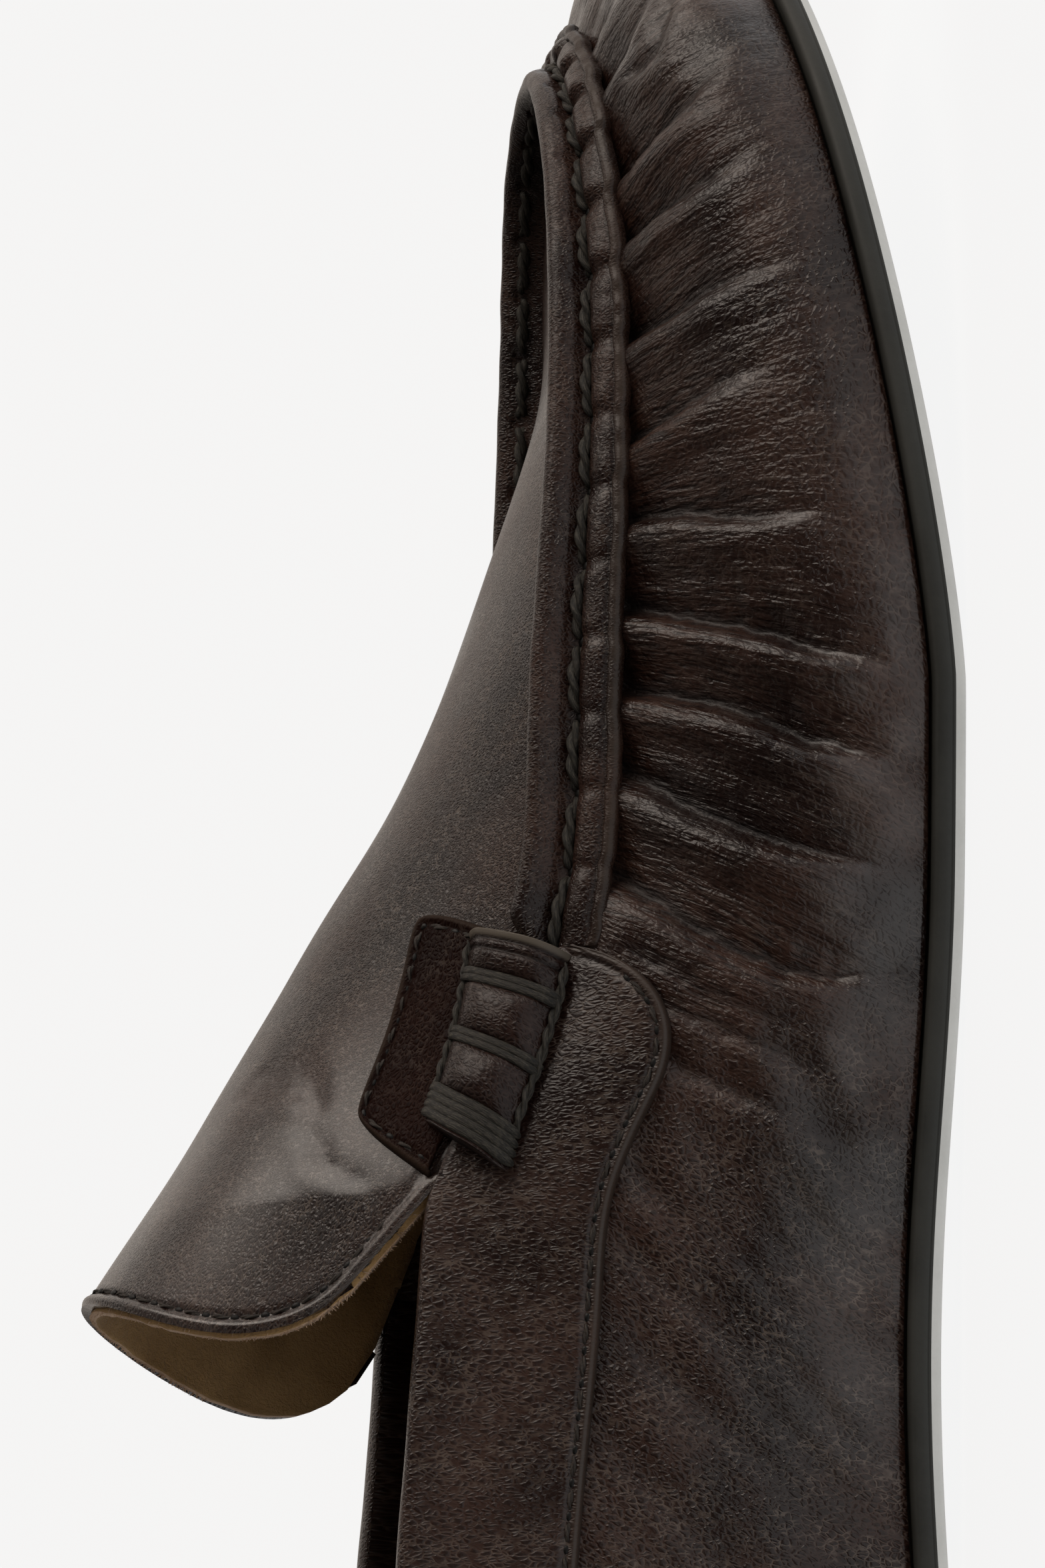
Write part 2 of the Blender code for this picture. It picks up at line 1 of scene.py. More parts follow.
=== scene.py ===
"""Looks of a moccasin toe loafer, a right shoe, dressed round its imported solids.

Sizes are millimetres from the back of the heel, as in the part's source: Y runs to the toe, +X to the
lateral side and +Z up from the floor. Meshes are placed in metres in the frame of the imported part.
"""
import logging
import math
from dataclasses import dataclass, field
from enum import Enum
from typing import NamedTuple, Optional, Sequence

import bmesh
import bpy
import numpy as np
from mathutils import Matrix, Vector, noise


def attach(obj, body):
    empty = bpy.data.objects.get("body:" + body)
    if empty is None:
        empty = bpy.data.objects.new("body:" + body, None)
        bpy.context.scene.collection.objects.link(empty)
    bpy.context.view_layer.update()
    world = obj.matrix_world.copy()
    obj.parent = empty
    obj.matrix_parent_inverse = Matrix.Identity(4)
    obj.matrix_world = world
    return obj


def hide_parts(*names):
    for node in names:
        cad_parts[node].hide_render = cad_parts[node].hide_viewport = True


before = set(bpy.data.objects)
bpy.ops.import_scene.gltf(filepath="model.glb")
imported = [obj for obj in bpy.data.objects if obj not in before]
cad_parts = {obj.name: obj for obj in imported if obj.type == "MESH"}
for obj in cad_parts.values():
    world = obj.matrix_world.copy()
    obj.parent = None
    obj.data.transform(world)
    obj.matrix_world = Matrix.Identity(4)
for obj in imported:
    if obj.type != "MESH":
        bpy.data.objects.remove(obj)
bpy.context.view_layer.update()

Array = np.ndarray
BMesh = bmesh.types.BMesh
Colour = tuple[float, float, float]
Material = bpy.types.Material
Node = bpy.types.Node
Piece = bpy.types.Object
Socket = bpy.types.NodeSocket

LOG = logging.getLogger("loafer")
MM = 0.001
MERGE = 2e-7
UP = np.array([0.0, 0.0, 1.0])
CHART = "chart"


class Side(Enum):
    """Side of the shoe, with the sign of its X."""

    LATERAL = 1
    MEDIAL = -1


class Station(NamedTuple):
    """One section round the shoe: where the wall meets the sole, where its rim is, and how it bulges."""

    name: str
    foot_x: float
    foot_y: float
    rim_x: float
    rim_y: float
    rim_z: float
    low_out: float
    low_up: float
    high_out: float
    high_down: float


STATIONS = (
    Station("heel_back", 0.0, 1.5, 0.0, 5.0, 58.5, 5.0, 17.0, 4.0, 18.0),
    Station("heel_corner", 16.5, 6.0, 13.0, 9.5, 58.2, 5.0, 17.0, 4.0, 18.0),
    Station("heel_side", 27.0, 24.0, 22.8, 26.5, 57.2, 4.5, 16.0, 3.5, 17.0),
    Station("rear_quarter", 30.2, 50.0, 26.8, 52.0, 56.0, 4.0, 16.0, 3.0, 17.0),
    Station("waist", 31.8, 80.0, 28.2, 80.0, 54.7, 4.0, 16.0, 2.5, 16.0),
    Station("collar_front", 33.4, 99.0, 27.6, 102.6, 52.9, 4.0, 16.0, 3.0, 15.0),
    Station("throat", 34.4, 109.0, 27.0, 112.6, 51.6, 4.0, 15.0, 4.0, 13.0),
    Station("roll", 36.4, 123.0, 26.8, 124.5, 45.6, 4.0, 14.0, 6.0, 10.0),
    Station("saddle", 38.6, 138.0, 26.8, 139.5, 39.4, 3.5, 13.0, 8.0, 8.0),
    Station("ball", 41.6, 162.0, 26.4, 163.0, 37.4, 3.0, 12.0, 9.0, 8.0),
    Station("outer_joint", 41.3, 187.0, 24.9, 186.5, 36.0, 3.0, 12.0, 10.0, 7.5),
    Station("little_toe", 38.0, 210.0, 21.8, 208.0, 35.4, 3.5, 12.0, 11.0, 6.0),
    Station("toe_corner", 31.0, 229.0, 16.6, 224.0, 35.8, 4.0, 12.0, 12.5, 4.5),
    Station("toe_front", 17.0, 246.0, 8.3, 233.4, 36.4, 4.0, 12.0, 13.5, 3.2),
    Station("toe_tip", -4.5, 256.5, -3.0, 236.8, 36.6, 4.0, 12.0, 14.0, 2.8),
    Station("toe_front_medial", -24.0, 249.5, -13.8, 232.8, 36.7, 4.0, 12.0, 13.5, 3.2),
    Station("toe_corner_medial", -35.5, 234.0, -21.3, 223.5, 36.4, 4.0, 12.0, 12.5, 4.5),
    Station("big_toe", -40.8, 212.0, -25.2, 208.0, 36.2, 3.5, 12.0, 11.0, 6.0),
    Station("inner_joint", -41.2, 189.0, -26.6, 187.0, 36.7, 3.0, 12.0, 10.0, 7.5),
    Station("ball_medial", -38.0, 164.0, -27.0, 164.0, 38.0, 3.0, 12.0, 8.0, 8.0),
    Station("saddle_medial", -31.5, 138.0, -27.2, 139.5, 39.8, 3.5, 13.0, 6.5, 9.0),
    Station("roll_medial", -28.2, 123.0, -27.0, 124.5, 46.0, 4.0, 14.0, 5.0, 11.0),
    Station("throat_medial", -26.4, 109.0, -27.0, 112.0, 51.8, 4.0, 15.0, 3.0, 13.0),
    Station("collar_front_medial", -25.8, 99.0, -27.1, 102.0, 53.1, 4.0, 16.0, 2.5, 15.0),
    Station("waist_medial", -25.6, 80.0, -27.0, 80.0, 54.8, 4.0, 16.0, 2.5, 16.0),
    Station("rear_quarter_medial", -28.0, 50.0, -26.2, 52.0, 56.1, 4.0, 16.0, 3.0, 17.0),
    Station("heel_side_medial", -26.8, 24.0, -22.6, 26.5, 57.2, 4.5, 16.0, 3.5, 17.0),
    Station("heel_corner_medial", -16.5, 6.0, -13.0, 9.5, 58.2, 5.0, 17.0, 4.0, 18.0),
)

CREST = (
    (98.0, 89.8), (104.8, 85.5), (122.2, 74.5), (143.3, 62.6), (157.5, 54.3), (172.0, 48.0),
    (186.0, 43.4), (195.0, 40.3), (206.0, 37.7), (225.0, 36.6), (242.0, 36.4),
)


def floats(values: Array) -> Array:
    """Values as an array of floats."""
    return np.asarray(values, dtype=float)


def shares(count: int) -> Array:
    """Even shares from 0 to 1."""
    return np.linspace(0.0, 1.0, count)


def unit(vectors: Array) -> Array:
    """Vectors at length one."""
    return vectors / np.maximum(np.linalg.norm(vectors, axis=-1), 1e-12)[..., None]


def smooth(low: float, high: float, value: Array) -> Array:
    """Soft step from 0 at low to 1 at high."""
    x = np.clip((floats(value) - low) / (high - low), 0.0, 1.0)
    return x * x * (3.0 - 2.0 * x)


def between(window: Sequence[float], value: Array) -> Array:
    """Soft window: 0 up to its first value, 1 from its second to its third and 0 past its last."""
    return smooth(window[0], window[1], value) * (1.0 - smooth(window[2], window[3], value))


def bell(value: Array, width: float) -> Array:
    """Bell curve of height one."""
    return np.exp(-((floats(value) / width) ** 2))


def drawn(x: Array, share: float) -> Array:
    """Even places from 0 or -1 to 1, drawn closer together at 1 and -1."""
    return (1.0 - share) * x + share * np.sin(math.pi / 2 * x)


def path_length(points: Array, axis: int = 0) -> Array:
    """Length from the start to each point, along one axis of a line or grid of points."""
    start = np.take(points, [0], axis=axis)
    return np.cumsum(np.linalg.norm(np.diff(points, axis=axis, prepend=start), axis=-1), axis=axis)


def points_at(at: Array, run: Array, points: Array) -> Array:
    """Points of a line at lengths along it, from the length at each of its own points."""
    return np.stack([np.interp(at, run, points[:, axis]) for axis in range(3)], axis=1)


def level_points(x: Array, y: Array) -> Array:
    """Points on a level plane."""
    return np.stack([*np.broadcast_arrays(x, y), np.zeros_like(x)], axis=-1)


def spread(values: Array, like: Array) -> Array:
    """One value for each column, repeated down the rows of a grid like another."""
    return np.broadcast_to(values[:, None], like.shape[:2])


def rough_field(points: Array, size: float, seed: float) -> Array:
    """Soft random values from -1 to 1 over a field of points.

    Args:
        points: Points in millimetres, last axis x, y, z.
        size: Size of the lumps in millimetres.
        seed: Shift that makes one field differ from another.

    Returns:
        One value for each point.
    """
    flat = points.reshape(-1, 3) / size + seed
    values = np.array([noise.noise(Vector(p)) for p in flat])
    return values.reshape(points.shape[:-1])


class TongueHalf(NamedTuple):
    """How one half of the tongue ends: its round corner, and how far that corner sags and reaches back."""

    corner: float
    power: float
    droop: float
    stretch: float


class Spline:
    """Smooth curve through rows of values; a closed one has one knot more than it has rows."""

    def __init__(self, knots: Sequence[float], rows: Array, closed: bool = False) -> None:
        """Solve for the bends of the curve.

        Args:
            knots: Parameter at each row.
            rows: Values that the curve passes through.
            closed: True for a loop.
        """
        rows = floats(rows)
        self.closed = closed
        self.knots = floats(knots)
        self.rows = np.vstack([rows, rows[:1]]) if closed else rows
        self.steps = np.diff(self.knots)
        slopes = np.diff(self.rows, axis=0) / self.steps[:, None]
        system = np.eye(len(self.rows))
        turns = np.zeros_like(self.rows)
        for i in range(1, len(self.steps)):
            before, after = self.steps[i - 1:i + 1]
            system[i, i - 1:i + 2] = before, 2 * (before + after), after
            turns[i] = 6 * (slopes[i] - slopes[i - 1])
        if closed:
            before, after = self.steps[-1], self.steps[0]
            system[0, [-2, 0, 1]] = before, 2 * (before + after), after
            turns[0] = 6 * (slopes[0] - slopes[-1])
            system[-1, 0] = -1.0
        self.bends = np.linalg.solve(system, turns)

    def __call__(self, t: Array) -> Array:
        """Values of the curve.

        Args:
            t: Parameters.

        Returns:
            One row for each parameter.
        """
        t = np.atleast_1d(floats(t))
        t = np.mod(t, 1.0) if self.closed else t
        i = np.clip(np.searchsorted(self.knots, t, side="right") - 1, 0, len(self.steps) - 1)
        h = self.steps[i][:, None]
        b = (t - self.knots[i])[:, None] / h
        a = 1 - b
        bend = ((a**3 - a) * self.bends[i] + (b**3 - b) * self.bends[i + 1]) * h**2 / 6
        return a * self.rows[i] + b * self.rows[i + 1] + bend


@dataclass
class Last:
    """Form that the shoe was made on: its walls, apron, tongue and tread."""

    length: float = 258.0
    gap: float = 0.35
    sole_thickness: float = 3.4
    arch_rise: float = 2.0
    arch_back: float = 45.0
    arch_front: float = 144.0
    spring_start: float = 162.0
    spring_length: float = 75.0
    spring_rise: float = 12.9
    spring_power: float = 1.28
    arch_power: float = 2.2
    tongue_run: tuple[float, float, float] = (-4.5, -17.0, 14.0)
    tongue_bow: float = 9.2
    tongue_taper: float = 0.04
    tongue_lateral: TongueHalf = TongueHalf(0.45, 7.0, 0.15, 1.3)
    tongue_medial: TongueHalf = TongueHalf(0.68, 7.3, 8.0, 4.4)
    samples: int = 41
    fine: int = 401
    halvings: int = 40
    nudge: float = 0.001
    feel: float = 0.4

    def __post_init__(self) -> None:
        """Fit the curves through the stations and the crest."""
        foot = np.array([[s.foot_x, s.foot_y] for s in STATIONS])
        rim = np.array([[s.rim_x, s.rim_y] for s in STATIONS])
        steps = sum(np.linalg.norm(np.roll(line, -1, axis=0) - line, axis=1) for line in (foot, rim))
        knots = np.concatenate([[0.0], np.cumsum(steps)]) / steps.sum()
        self.girth = steps.sum() / 2.0
        self.section = Spline(knots, np.array([s[1:] for s in STATIONS]), closed=True)
        self.crest = Spline([c[0] for c in CREST], np.array([[c[1]] for c in CREST]))
        self.at = {s.name: float(knots[i]) for i, s in enumerate(STATIONS)}
        self.tip = self.at["toe_tip"]
        self.throat = {Side.LATERAL: self.at["throat"], Side.MEDIAL: self.at["throat_medial"]}
        self.seam_run = (self.tip - self.throat[Side.LATERAL]) * self.girth

    def to_frame(self, points: Array) -> Array:
        """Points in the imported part's frame, in metres."""
        return (points - np.array([0.0, self.length / 2.0, 0.0])) * MM

    def tread(self, y: Array) -> Array:
        """Height of the sole's underside: flat heel, low arch, flat ball and toe spring.

        Args:
            y: Distances from the back of the heel.

        Returns:
            One height for each distance.
        """
        y = floats(y)
        across = np.clip((y - self.arch_back) / (self.arch_front - self.arch_back), 0.0, 1.0)
        past = np.clip((y - self.spring_start) / self.spring_length, 0.0, None)
        return self.arch_rise * np.sin(math.pi * across) ** 2 + self.spring_rise * past**self.spring_power

    def outward(self, t: Array, first: int) -> Array:
        """Level direction out of the loop whose x and y columns start at first.

        Args:
            t: Places round the shoe.
            first: 0 for the foot line and 2 for the rim.

        Returns:
            One direction for each place.
        """
        along = (self.section(t + self.nudge) - self.section(t - self.nudge))[:, first:first + 2]
        along = unit(along)
        return np.stack([along[:, 1], -along[:, 0], np.zeros(len(along))], axis=1)

    def wall(self, t: Array, share: Array) -> Array:
        """Points on the wall's outside.

        Args:
            t: Places round the shoe, from 0 at the back of the heel.
            share: Shares of the wall's length, from 0 at the sole to 1 at the rim.

        Returns:
            Array of places by shares by 3.
        """
        t = np.atleast_1d(floats(t))
        share = np.atleast_1d(floats(share))
        sections = zip(*self.wall_curves(t))
        return np.stack([points_at(share * run[-1], run, curve) for run, curve in sections])

    def wall_curves(self, t: Array) -> tuple[Array, Array]:
        """Fine sections of the wall.

        Args:
            t: Places round the shoe.

        Returns:
            Length along each section and the section's points.
        """
        row = self.section(t)
        foot_z = self.tread(row[:, 1]) + self.sole_thickness + self.gap
        foot = np.stack([row[:, 0], row[:, 1], foot_z], axis=1)
        rim = row[:, 2:5]
        low = foot + self.outward(t, 0) * row[:, 5:6] + UP * row[:, 6:7]
        high = rim + self.outward(t, 2) * row[:, 7:8] - UP * row[:, 8:9]
        b = shares(self.samples)[None, :, None]
        a = 1.0 - b
        curve = a**3 * foot[:, None] + 3 * a**2 * b * low[:, None]
        curve = curve + 3 * a * b**2 * high[:, None] + b**3 * rim[:, None]
        return path_length(curve, axis=1), curve

    def wall_length(self, t: Array) -> Array:
        """Length of the wall's section from sole to rim."""
        return self.wall_curves(np.atleast_1d(t))[0][:, -1]

    def wall_at(self, t: Array, drop: Array) -> tuple[Array, Array]:
        """Points at distances below the rim, with their outward normals.

        Args:
            t: Places round the shoe.
            drop: One distance down the wall for each place.

        Returns:
            Points and normals, one row for each place.
        """
        t = np.atleast_1d(floats(t))
        drop = np.broadcast_to(floats(drop), t.shape)

        def points(ts: Array, drops: Array) -> Array:
            """Points of the wall, one for each place and drop."""
            sections = zip(*self.wall_curves(ts), drops)
            return np.concatenate([points_at(run[-1:] - down, run, curve) for run, curve, down in sections])

        along = points(t + self.nudge, drop) - points(t - self.nudge, drop)
        up = points(t, np.maximum(drop - self.feel, 0.0)) - points(t, drop + self.feel)
        return points(t, drop), unit(np.cross(along, up))

    def rim_t(self, k: Array, side: Side) -> Array:
        """Place round the shoe of the apron's edge, k from 0 at the tip to 1 at the throat."""
        return self.tip + (self.throat[side] - self.tip) * floats(k)

    def rim_y(self, t: Array) -> Array:
        """Distance of the rim from the back of the heel."""
        return self.section(t)[:, 3]

    def run_of(self, t: Array) -> Array:
        """Distance back from the toe's tip, as long on the medial side as on the lateral side.

        Args:
            t: Places round the shoe.

        Returns:
            One distance for each place.
        """
        t = np.mod(floats(t), 1.0)
        medial = (t - self.tip) / (self.throat[Side.MEDIAL] - self.tip) * self.seam_run
        return np.where(t <= self.tip, (self.tip - t) * self.girth, medial)

    def t_at(self, run: Array, side: Side) -> Array:
        """Place round the shoe at a distance back from the toe's tip."""
        return self.rim_t(floats(run) / self.seam_run, side)

    def k_at(self, y: Array, side: Side) -> Array:
        """Place along the apron's edge where the rim has this y."""
        ks = shares(self.fine)
        return np.interp(-floats(y), -self.rim_y(self.rim_t(ks, side)), ks)

    def apron_edge(self, k: Array, side: Side) -> Array:
        """Edge of the apron on one side; past k = 1 it is the tongue's rail.

        Args:
            k: Places along the edge.
            side: Side of the shoe.

        Returns:
            One point for each place.
        """
        rim = self.section(self.rim_t(np.minimum(k, 1.0), side))[:, 2:5]
        run = np.array(self.tongue_run) * np.array([side.value, 1.0, 1.0])
        return rim + np.maximum(k - 1.0, 0.0)[:, None] * run

    def apron(self, k: Array, p: Array) -> Array:
        """Points on the apron or tongue.

        Args:
            k: Places from 0 at the tip to 1 at the throat, and past 1 on the tongue.
            p: Places across, from -1 at the medial edge to 1 at the lateral edge.

        Returns:
            One point for each pair.
        """
        k = np.atleast_1d(floats(k))
        p = np.broadcast_to(floats(p), k.shape)
        medial = self.apron_edge(k, Side.MEDIAL)
        lateral = self.apron_edge(k, Side.LATERAL)
        bow = self.tongue_bow * np.maximum(k - 1.0, 0.0)
        point = medial + (lateral - medial) * ((p + 1.0) / 2.0)[:, None]
        crest_y = (medial[:, 1] + lateral[:, 1]) / 2.0 + bow
        rise = self.crest(crest_y)[:, 0] - (medial[:, 2] + lateral[:, 2]) / 2.0
        point[:, 1] += bow * (1.0 - p * p)
        point[:, 2] += rise * (1.0 - np.abs(p) ** self.arch_power)
        return point

    def tongue_half(self, q: Array) -> TongueHalf:
        """Settings of the tongue's half for each place across it."""
        pairs = zip(self.tongue_lateral, self.tongue_medial)
        return TongueHalf(*(np.where(q >= 0.0, lateral, medial) for lateral, medial in pairs))

    def tongue_reach(self, r: Array, q: Array) -> Array:
        """Share of the tongue's length at each place, less at its rounded corners."""
        half = self.tongue_half(q)
        return r * (1.0 - half.corner * (1.0 - np.sqrt(1.0 - np.abs(q) ** half.power)))

    def tongue(self, r: Array, q: Array) -> Array:
        """Points on the free tongue.

        Args:
            r: Places along it, from 0 at the throat to 1 at its end.
            q: Places across it, from -1 to 1.

        Returns:
            One point for each pair.
        """
        r, q = np.broadcast_arrays(floats(r), floats(q))
        r, q = r.ravel(), q.ravel()
        reach, half = self.tongue_reach(r, q), self.tongue_half(q)
        point = self.apron(1.0 + reach, q * (1.0 - self.tongue_taper * reach))
        point[:, 1] -= half.stretch * reach * q * q
        point[:, 2] -= half.droop * reach * q * q
        return point

    def apron_normal(self, k: Array, p: Array) -> Array:
        """Normals of the apron, pointing up and out.

        Args:
            k: Places from tip to throat.
            p: Places across.

        Returns:
            One normal for each pair.
        """
        step = 0.01
        k = np.maximum(np.atleast_1d(floats(k)), 2 * step)
        p = np.broadcast_to(floats(p), k.shape)
        back = self.apron(k + step, p) - self.apron(k - step, p)
        across = self.apron(k, np.minimum(p + step, 1.0)) - self.apron(k, np.maximum(p - step, -1.0))
        return unit(np.cross(back, across))

    def apron_under(self, x: Array, y: Array) -> tuple[Array, Array]:
        """Values of k and p of the apron's points that lie at these x and y.

        Args:
            x: Places across the shoe.
            y: Places along the shoe.

        Returns:
            Arrays of k and of p.
        """
        low, high = np.zeros_like(x), np.full_like(x, 2.0)
        share = np.zeros_like(x)
        for _ in range(self.halvings):
            k = (low + high) / 2.0
            medial = self.apron_edge(k, Side.MEDIAL)
            lateral = self.apron_edge(k, Side.LATERAL)
            share = (x - medial[:, 0]) / (lateral[:, 0] - medial[:, 0])
            ahead = medial[:, 1] + (lateral[:, 1] - medial[:, 1]) * share > y
            low, high = np.where(ahead, k, low), np.where(ahead, high, k)
        return (low + high) / 2.0, 2.0 * share - 1.0

    def apron_inset(self, k: float, side: Side, distance: float) -> float:
        """Value of p at a distance in from the apron's edge, measured over its surface.

        Args:
            k: Place from tip to throat.
            side: Side of the shoe.
            distance: Distance in.

        Returns:
            The value.
        """
        steps = np.linspace(1.0, 0.0, 101)
        run = path_length(self.apron(np.full_like(steps, k), side.value * steps))
        return side.value * float(np.interp(distance, run, steps))


LAST = Last()


def grid_normals(points: Array, closed: bool = False) -> Array:
    """Normals of a grid of points.

    Args:
        points: Array of columns by rows by 3.
        closed: True where the last column repeats the first.

    Returns:
        Unit normals on the side from which columns turn to rows anticlockwise.
    """
    along = np.gradient(points, axis=0)
    if closed:
        along[0] = along[-1] = (points[1] - points[-2]) / 2.0
    return unit(np.cross(along, np.gradient(points, axis=1)))


def close_ends(points: Array, middle: Array) -> Array:
    """Rings with one more at each end, drawn together to the middle of the first and the last."""
    count = points.shape[1]
    return np.concatenate([middle[:1].repeat(count, axis=1), points, middle[-1:].repeat(count, axis=1)])


def lay_grid(
    bm: BMesh,
    points: Array,
    chart: Optional[Array] = None,
    masks: Optional[dict[str, Array]] = None,
    material: int = 0,
    flip: bool = False,
) -> list[bmesh.types.BMVert]:
    """Bend a grid of quads onto points, closing it where edges meet.

    Args:
        bm: Mesh that the grid is added to.
        points: Array of columns by rows by 3, in millimetres from the heel.
        chart: Flat pattern coordinates in millimetres for each point.
        masks: Values for each point that materials read by name.
        material: Index of the faces' material.
        flip: True turns the faces over.

    Returns:
        The vertices left after doubles are merged.
    """
    columns, rows = points.shape[:2]
    layers = bm.verts.layers.float
    named = {name: layers.get(name) or layers.new(name) for name in (masks or {})}
    chart_layer = bm.loops.layers.uv.get(CHART) or bm.loops.layers.uv.new(CHART)
    named = {name: layers.get(name) for name in named}
    made = bmesh.ops.create_grid(bm, x_segments=columns - 1, y_segments=rows - 1, size=1.0)["verts"]
    placed = LAST.to_frame(points).reshape(-1, 3).tolist()
    for vert in made:
        i = round((vert.co.x + 1.0) / 2.0 * (columns - 1))
        j = round((vert.co.y + 1.0) / 2.0 * (rows - 1))
        vert.index = i * rows + j
        vert.co = placed[vert.index]
    for name, layer in named.items():
        flat = masks[name].reshape(-1).tolist()
        for vert in made:
            vert[layer] = flat[vert.index]
    faces = list({face for vert in made for face in vert.link_faces})
    flat_chart = (points[..., :2] if chart is None else chart).reshape(-1, 2).tolist()
    for face in faces:
        face.material_index = material
        face.smooth = True
        for loop in face.loops:
            loop[chart_layer].uv = flat_chart[loop.vert.index]
    if flip:
        bmesh.ops.reverse_faces(bm, faces=faces)
    bmesh.ops.remove_doubles(bm, verts=made, dist=MERGE)
    return [vert for vert in made if vert.is_valid]


def add_piece(
    name: str,
    bm: BMesh,
    materials: Sequence[Material],
    nodes: Sequence[str],
) -> Piece:
    """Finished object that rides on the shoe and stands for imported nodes.

    Args:
        name: Name of the piece.
        bm: Its mesh, which is freed.
        materials: Its materials in the order of the faces' indices.
        nodes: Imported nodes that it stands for.

    Returns:
        The object.
    """
    mesh = bpy.data.meshes.new(name)
    bm.to_mesh(mesh)
    bm.free()
    for material in materials:
        mesh.materials.append(material)
    piece = bpy.data.objects.new(name, mesh)
    bpy.context.scene.collection.objects.link(piece)
    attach(piece, "root")
    if nodes:
        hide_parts(*nodes)
    LOG.info("%s: %d faces", name, len(mesh.polygons))
    return piece


def give_wall(piece: Piece, thickness: float, inside: int = 0, rim: int = 0) -> None:
    """Wall behind a piece's skin.

    Args:
        piece: The object.
        thickness: Thickness in millimetres, grown inwards.
        inside: Step in material index for the inside.
        rim: Step in material index for the edge.
    """
    wall = piece.modifiers.new("wall", "SOLIDIFY")
    wall.thickness = thickness * MM
    wall.offset = -1.0
    wall.material_offset = inside
    wall.material_offset_rim = rim


def round_edges(piece: Piece, width: float, segments: int = 3) -> None:
    """Round off a piece's sharp edges.

    Args:
        piece: The object.
        width: Width of the rounding in millimetres.
        segments: Number of steps.
    """
    bevel = piece.modifiers.new("rounding", "BEVEL")
    bevel.width = width * MM
    bevel.segments = segments
    bevel.limit_method = "ANGLE"
    bevel.angle_limit = math.radians(50.0)
    bevel.harden_normals = False


class Tree:
    """Node tree with short calls for adding and joining nodes."""

    def __init__(self, tree: bpy.types.NodeTree) -> None:
        """Take hold of a tree."""
        self.tree = tree

    def add(self, kind: str, settings: Optional[dict] = None, **inputs: object) -> Node:
        """New node with its settings, values and links.

        Args:
            kind: Type of the node without the word ShaderNode, or a full type.
            settings: Properties of the node.
            inputs: Value or output socket for each input; _ in a name stands for a space.

        Returns:
            The node.
        """
        node = self.tree.nodes.new(kind if kind.startswith("Node") else "ShaderNode" + kind)
        for name, value in (settings or {}).items():
            setattr(node, name, value)
        for name, value in inputs.items():
            key = int(name[1:]) if name[1:].isdigit() else name.replace("_", " ")
            if isinstance(value, Socket):
                self.tree.links.new(value, node.inputs[key])
            else:
                node.inputs[key].default_value = value
        return node

    def join(self, socket: Socket, node: Node, name: str) -> None:
        """Link a value to a node's input."""
        self.tree.links.new(socket, node.inputs[name])

    def noise(self, place: object, scale: object, detail: float = 2.0, **more: float) -> Socket:
        """Soft noise from 0 to 1 over pattern coordinates."""
        return self.add("TexNoise", Vector=place, Scale=scale, Detail=detail, **more).outputs["Fac"]

    def cells(self, place: object, scale: object) -> Socket:
        """Distance from the edges of a net of random cells."""
        settings = {"feature": "DISTANCE_TO_EDGE"}
        return self.add("TexVoronoi", settings, Vector=place, Scale=scale).outputs["Distance"]

    def dent(self, shader: Node, height: object) -> None:
        """Bump a shader's normal by a height in metres."""
        bump = self.add("Bump", Strength=1.0, Distance=1.0, Height=height)
        self.join(bump.outputs[0], shader, "Normal")

    def math(self, operation: str, first: object, second: object = 0.5) -> Socket:
        """Result of one sum of two values."""
        return self.add("Math", {"operation": operation}, i0=first, i1=second).outputs[0]

    def times(self, *values: object) -> Socket:
        """Product of several values.

        Args:
            values: Numbers and sockets.

        Returns:
            The product's socket.
        """
        total = values[0]
        for value in values[1:]:
            total = self.math("MULTIPLY", total, value)
        return total

    def ramp(self, value: object, low: float, high: float, start: float = 0.0, end: float = 1.0) -> object:
        """Value taken softly from one range to another.

        Args:
            value: The output socket to read.
            low: Value that gives start.
            high: Value that gives end.
            start: Result at low.
            end: Result at high.

        Returns:
            The result's socket.
        """
        names = {"interpolation_type": "SMOOTHSTEP"}
        node = self.add("MapRange", names, Value=value, From_Min=low, From_Max=high, To_Min=start, To_Max=end)
        return node.outputs["Result"]

    def blend(self, share: object, first: object, second: object) -> Socket:
        """Colour between two.

        Args:
            share: Share of the second.
            first: Colour or socket at 0.
            second: Colour or socket at 1.

        Returns:
            The colour's socket.
        """
        node = self.add("Mix", {"data_type": "RGBA"}, i0=share)
        for key, value in ((6, first), (7, second)):
            if isinstance(value, Socket):
                self.tree.links.new(value, node.inputs[key])
            else:
                node.inputs[key].default_value = (*value, 1.0)
        return node.outputs[2]


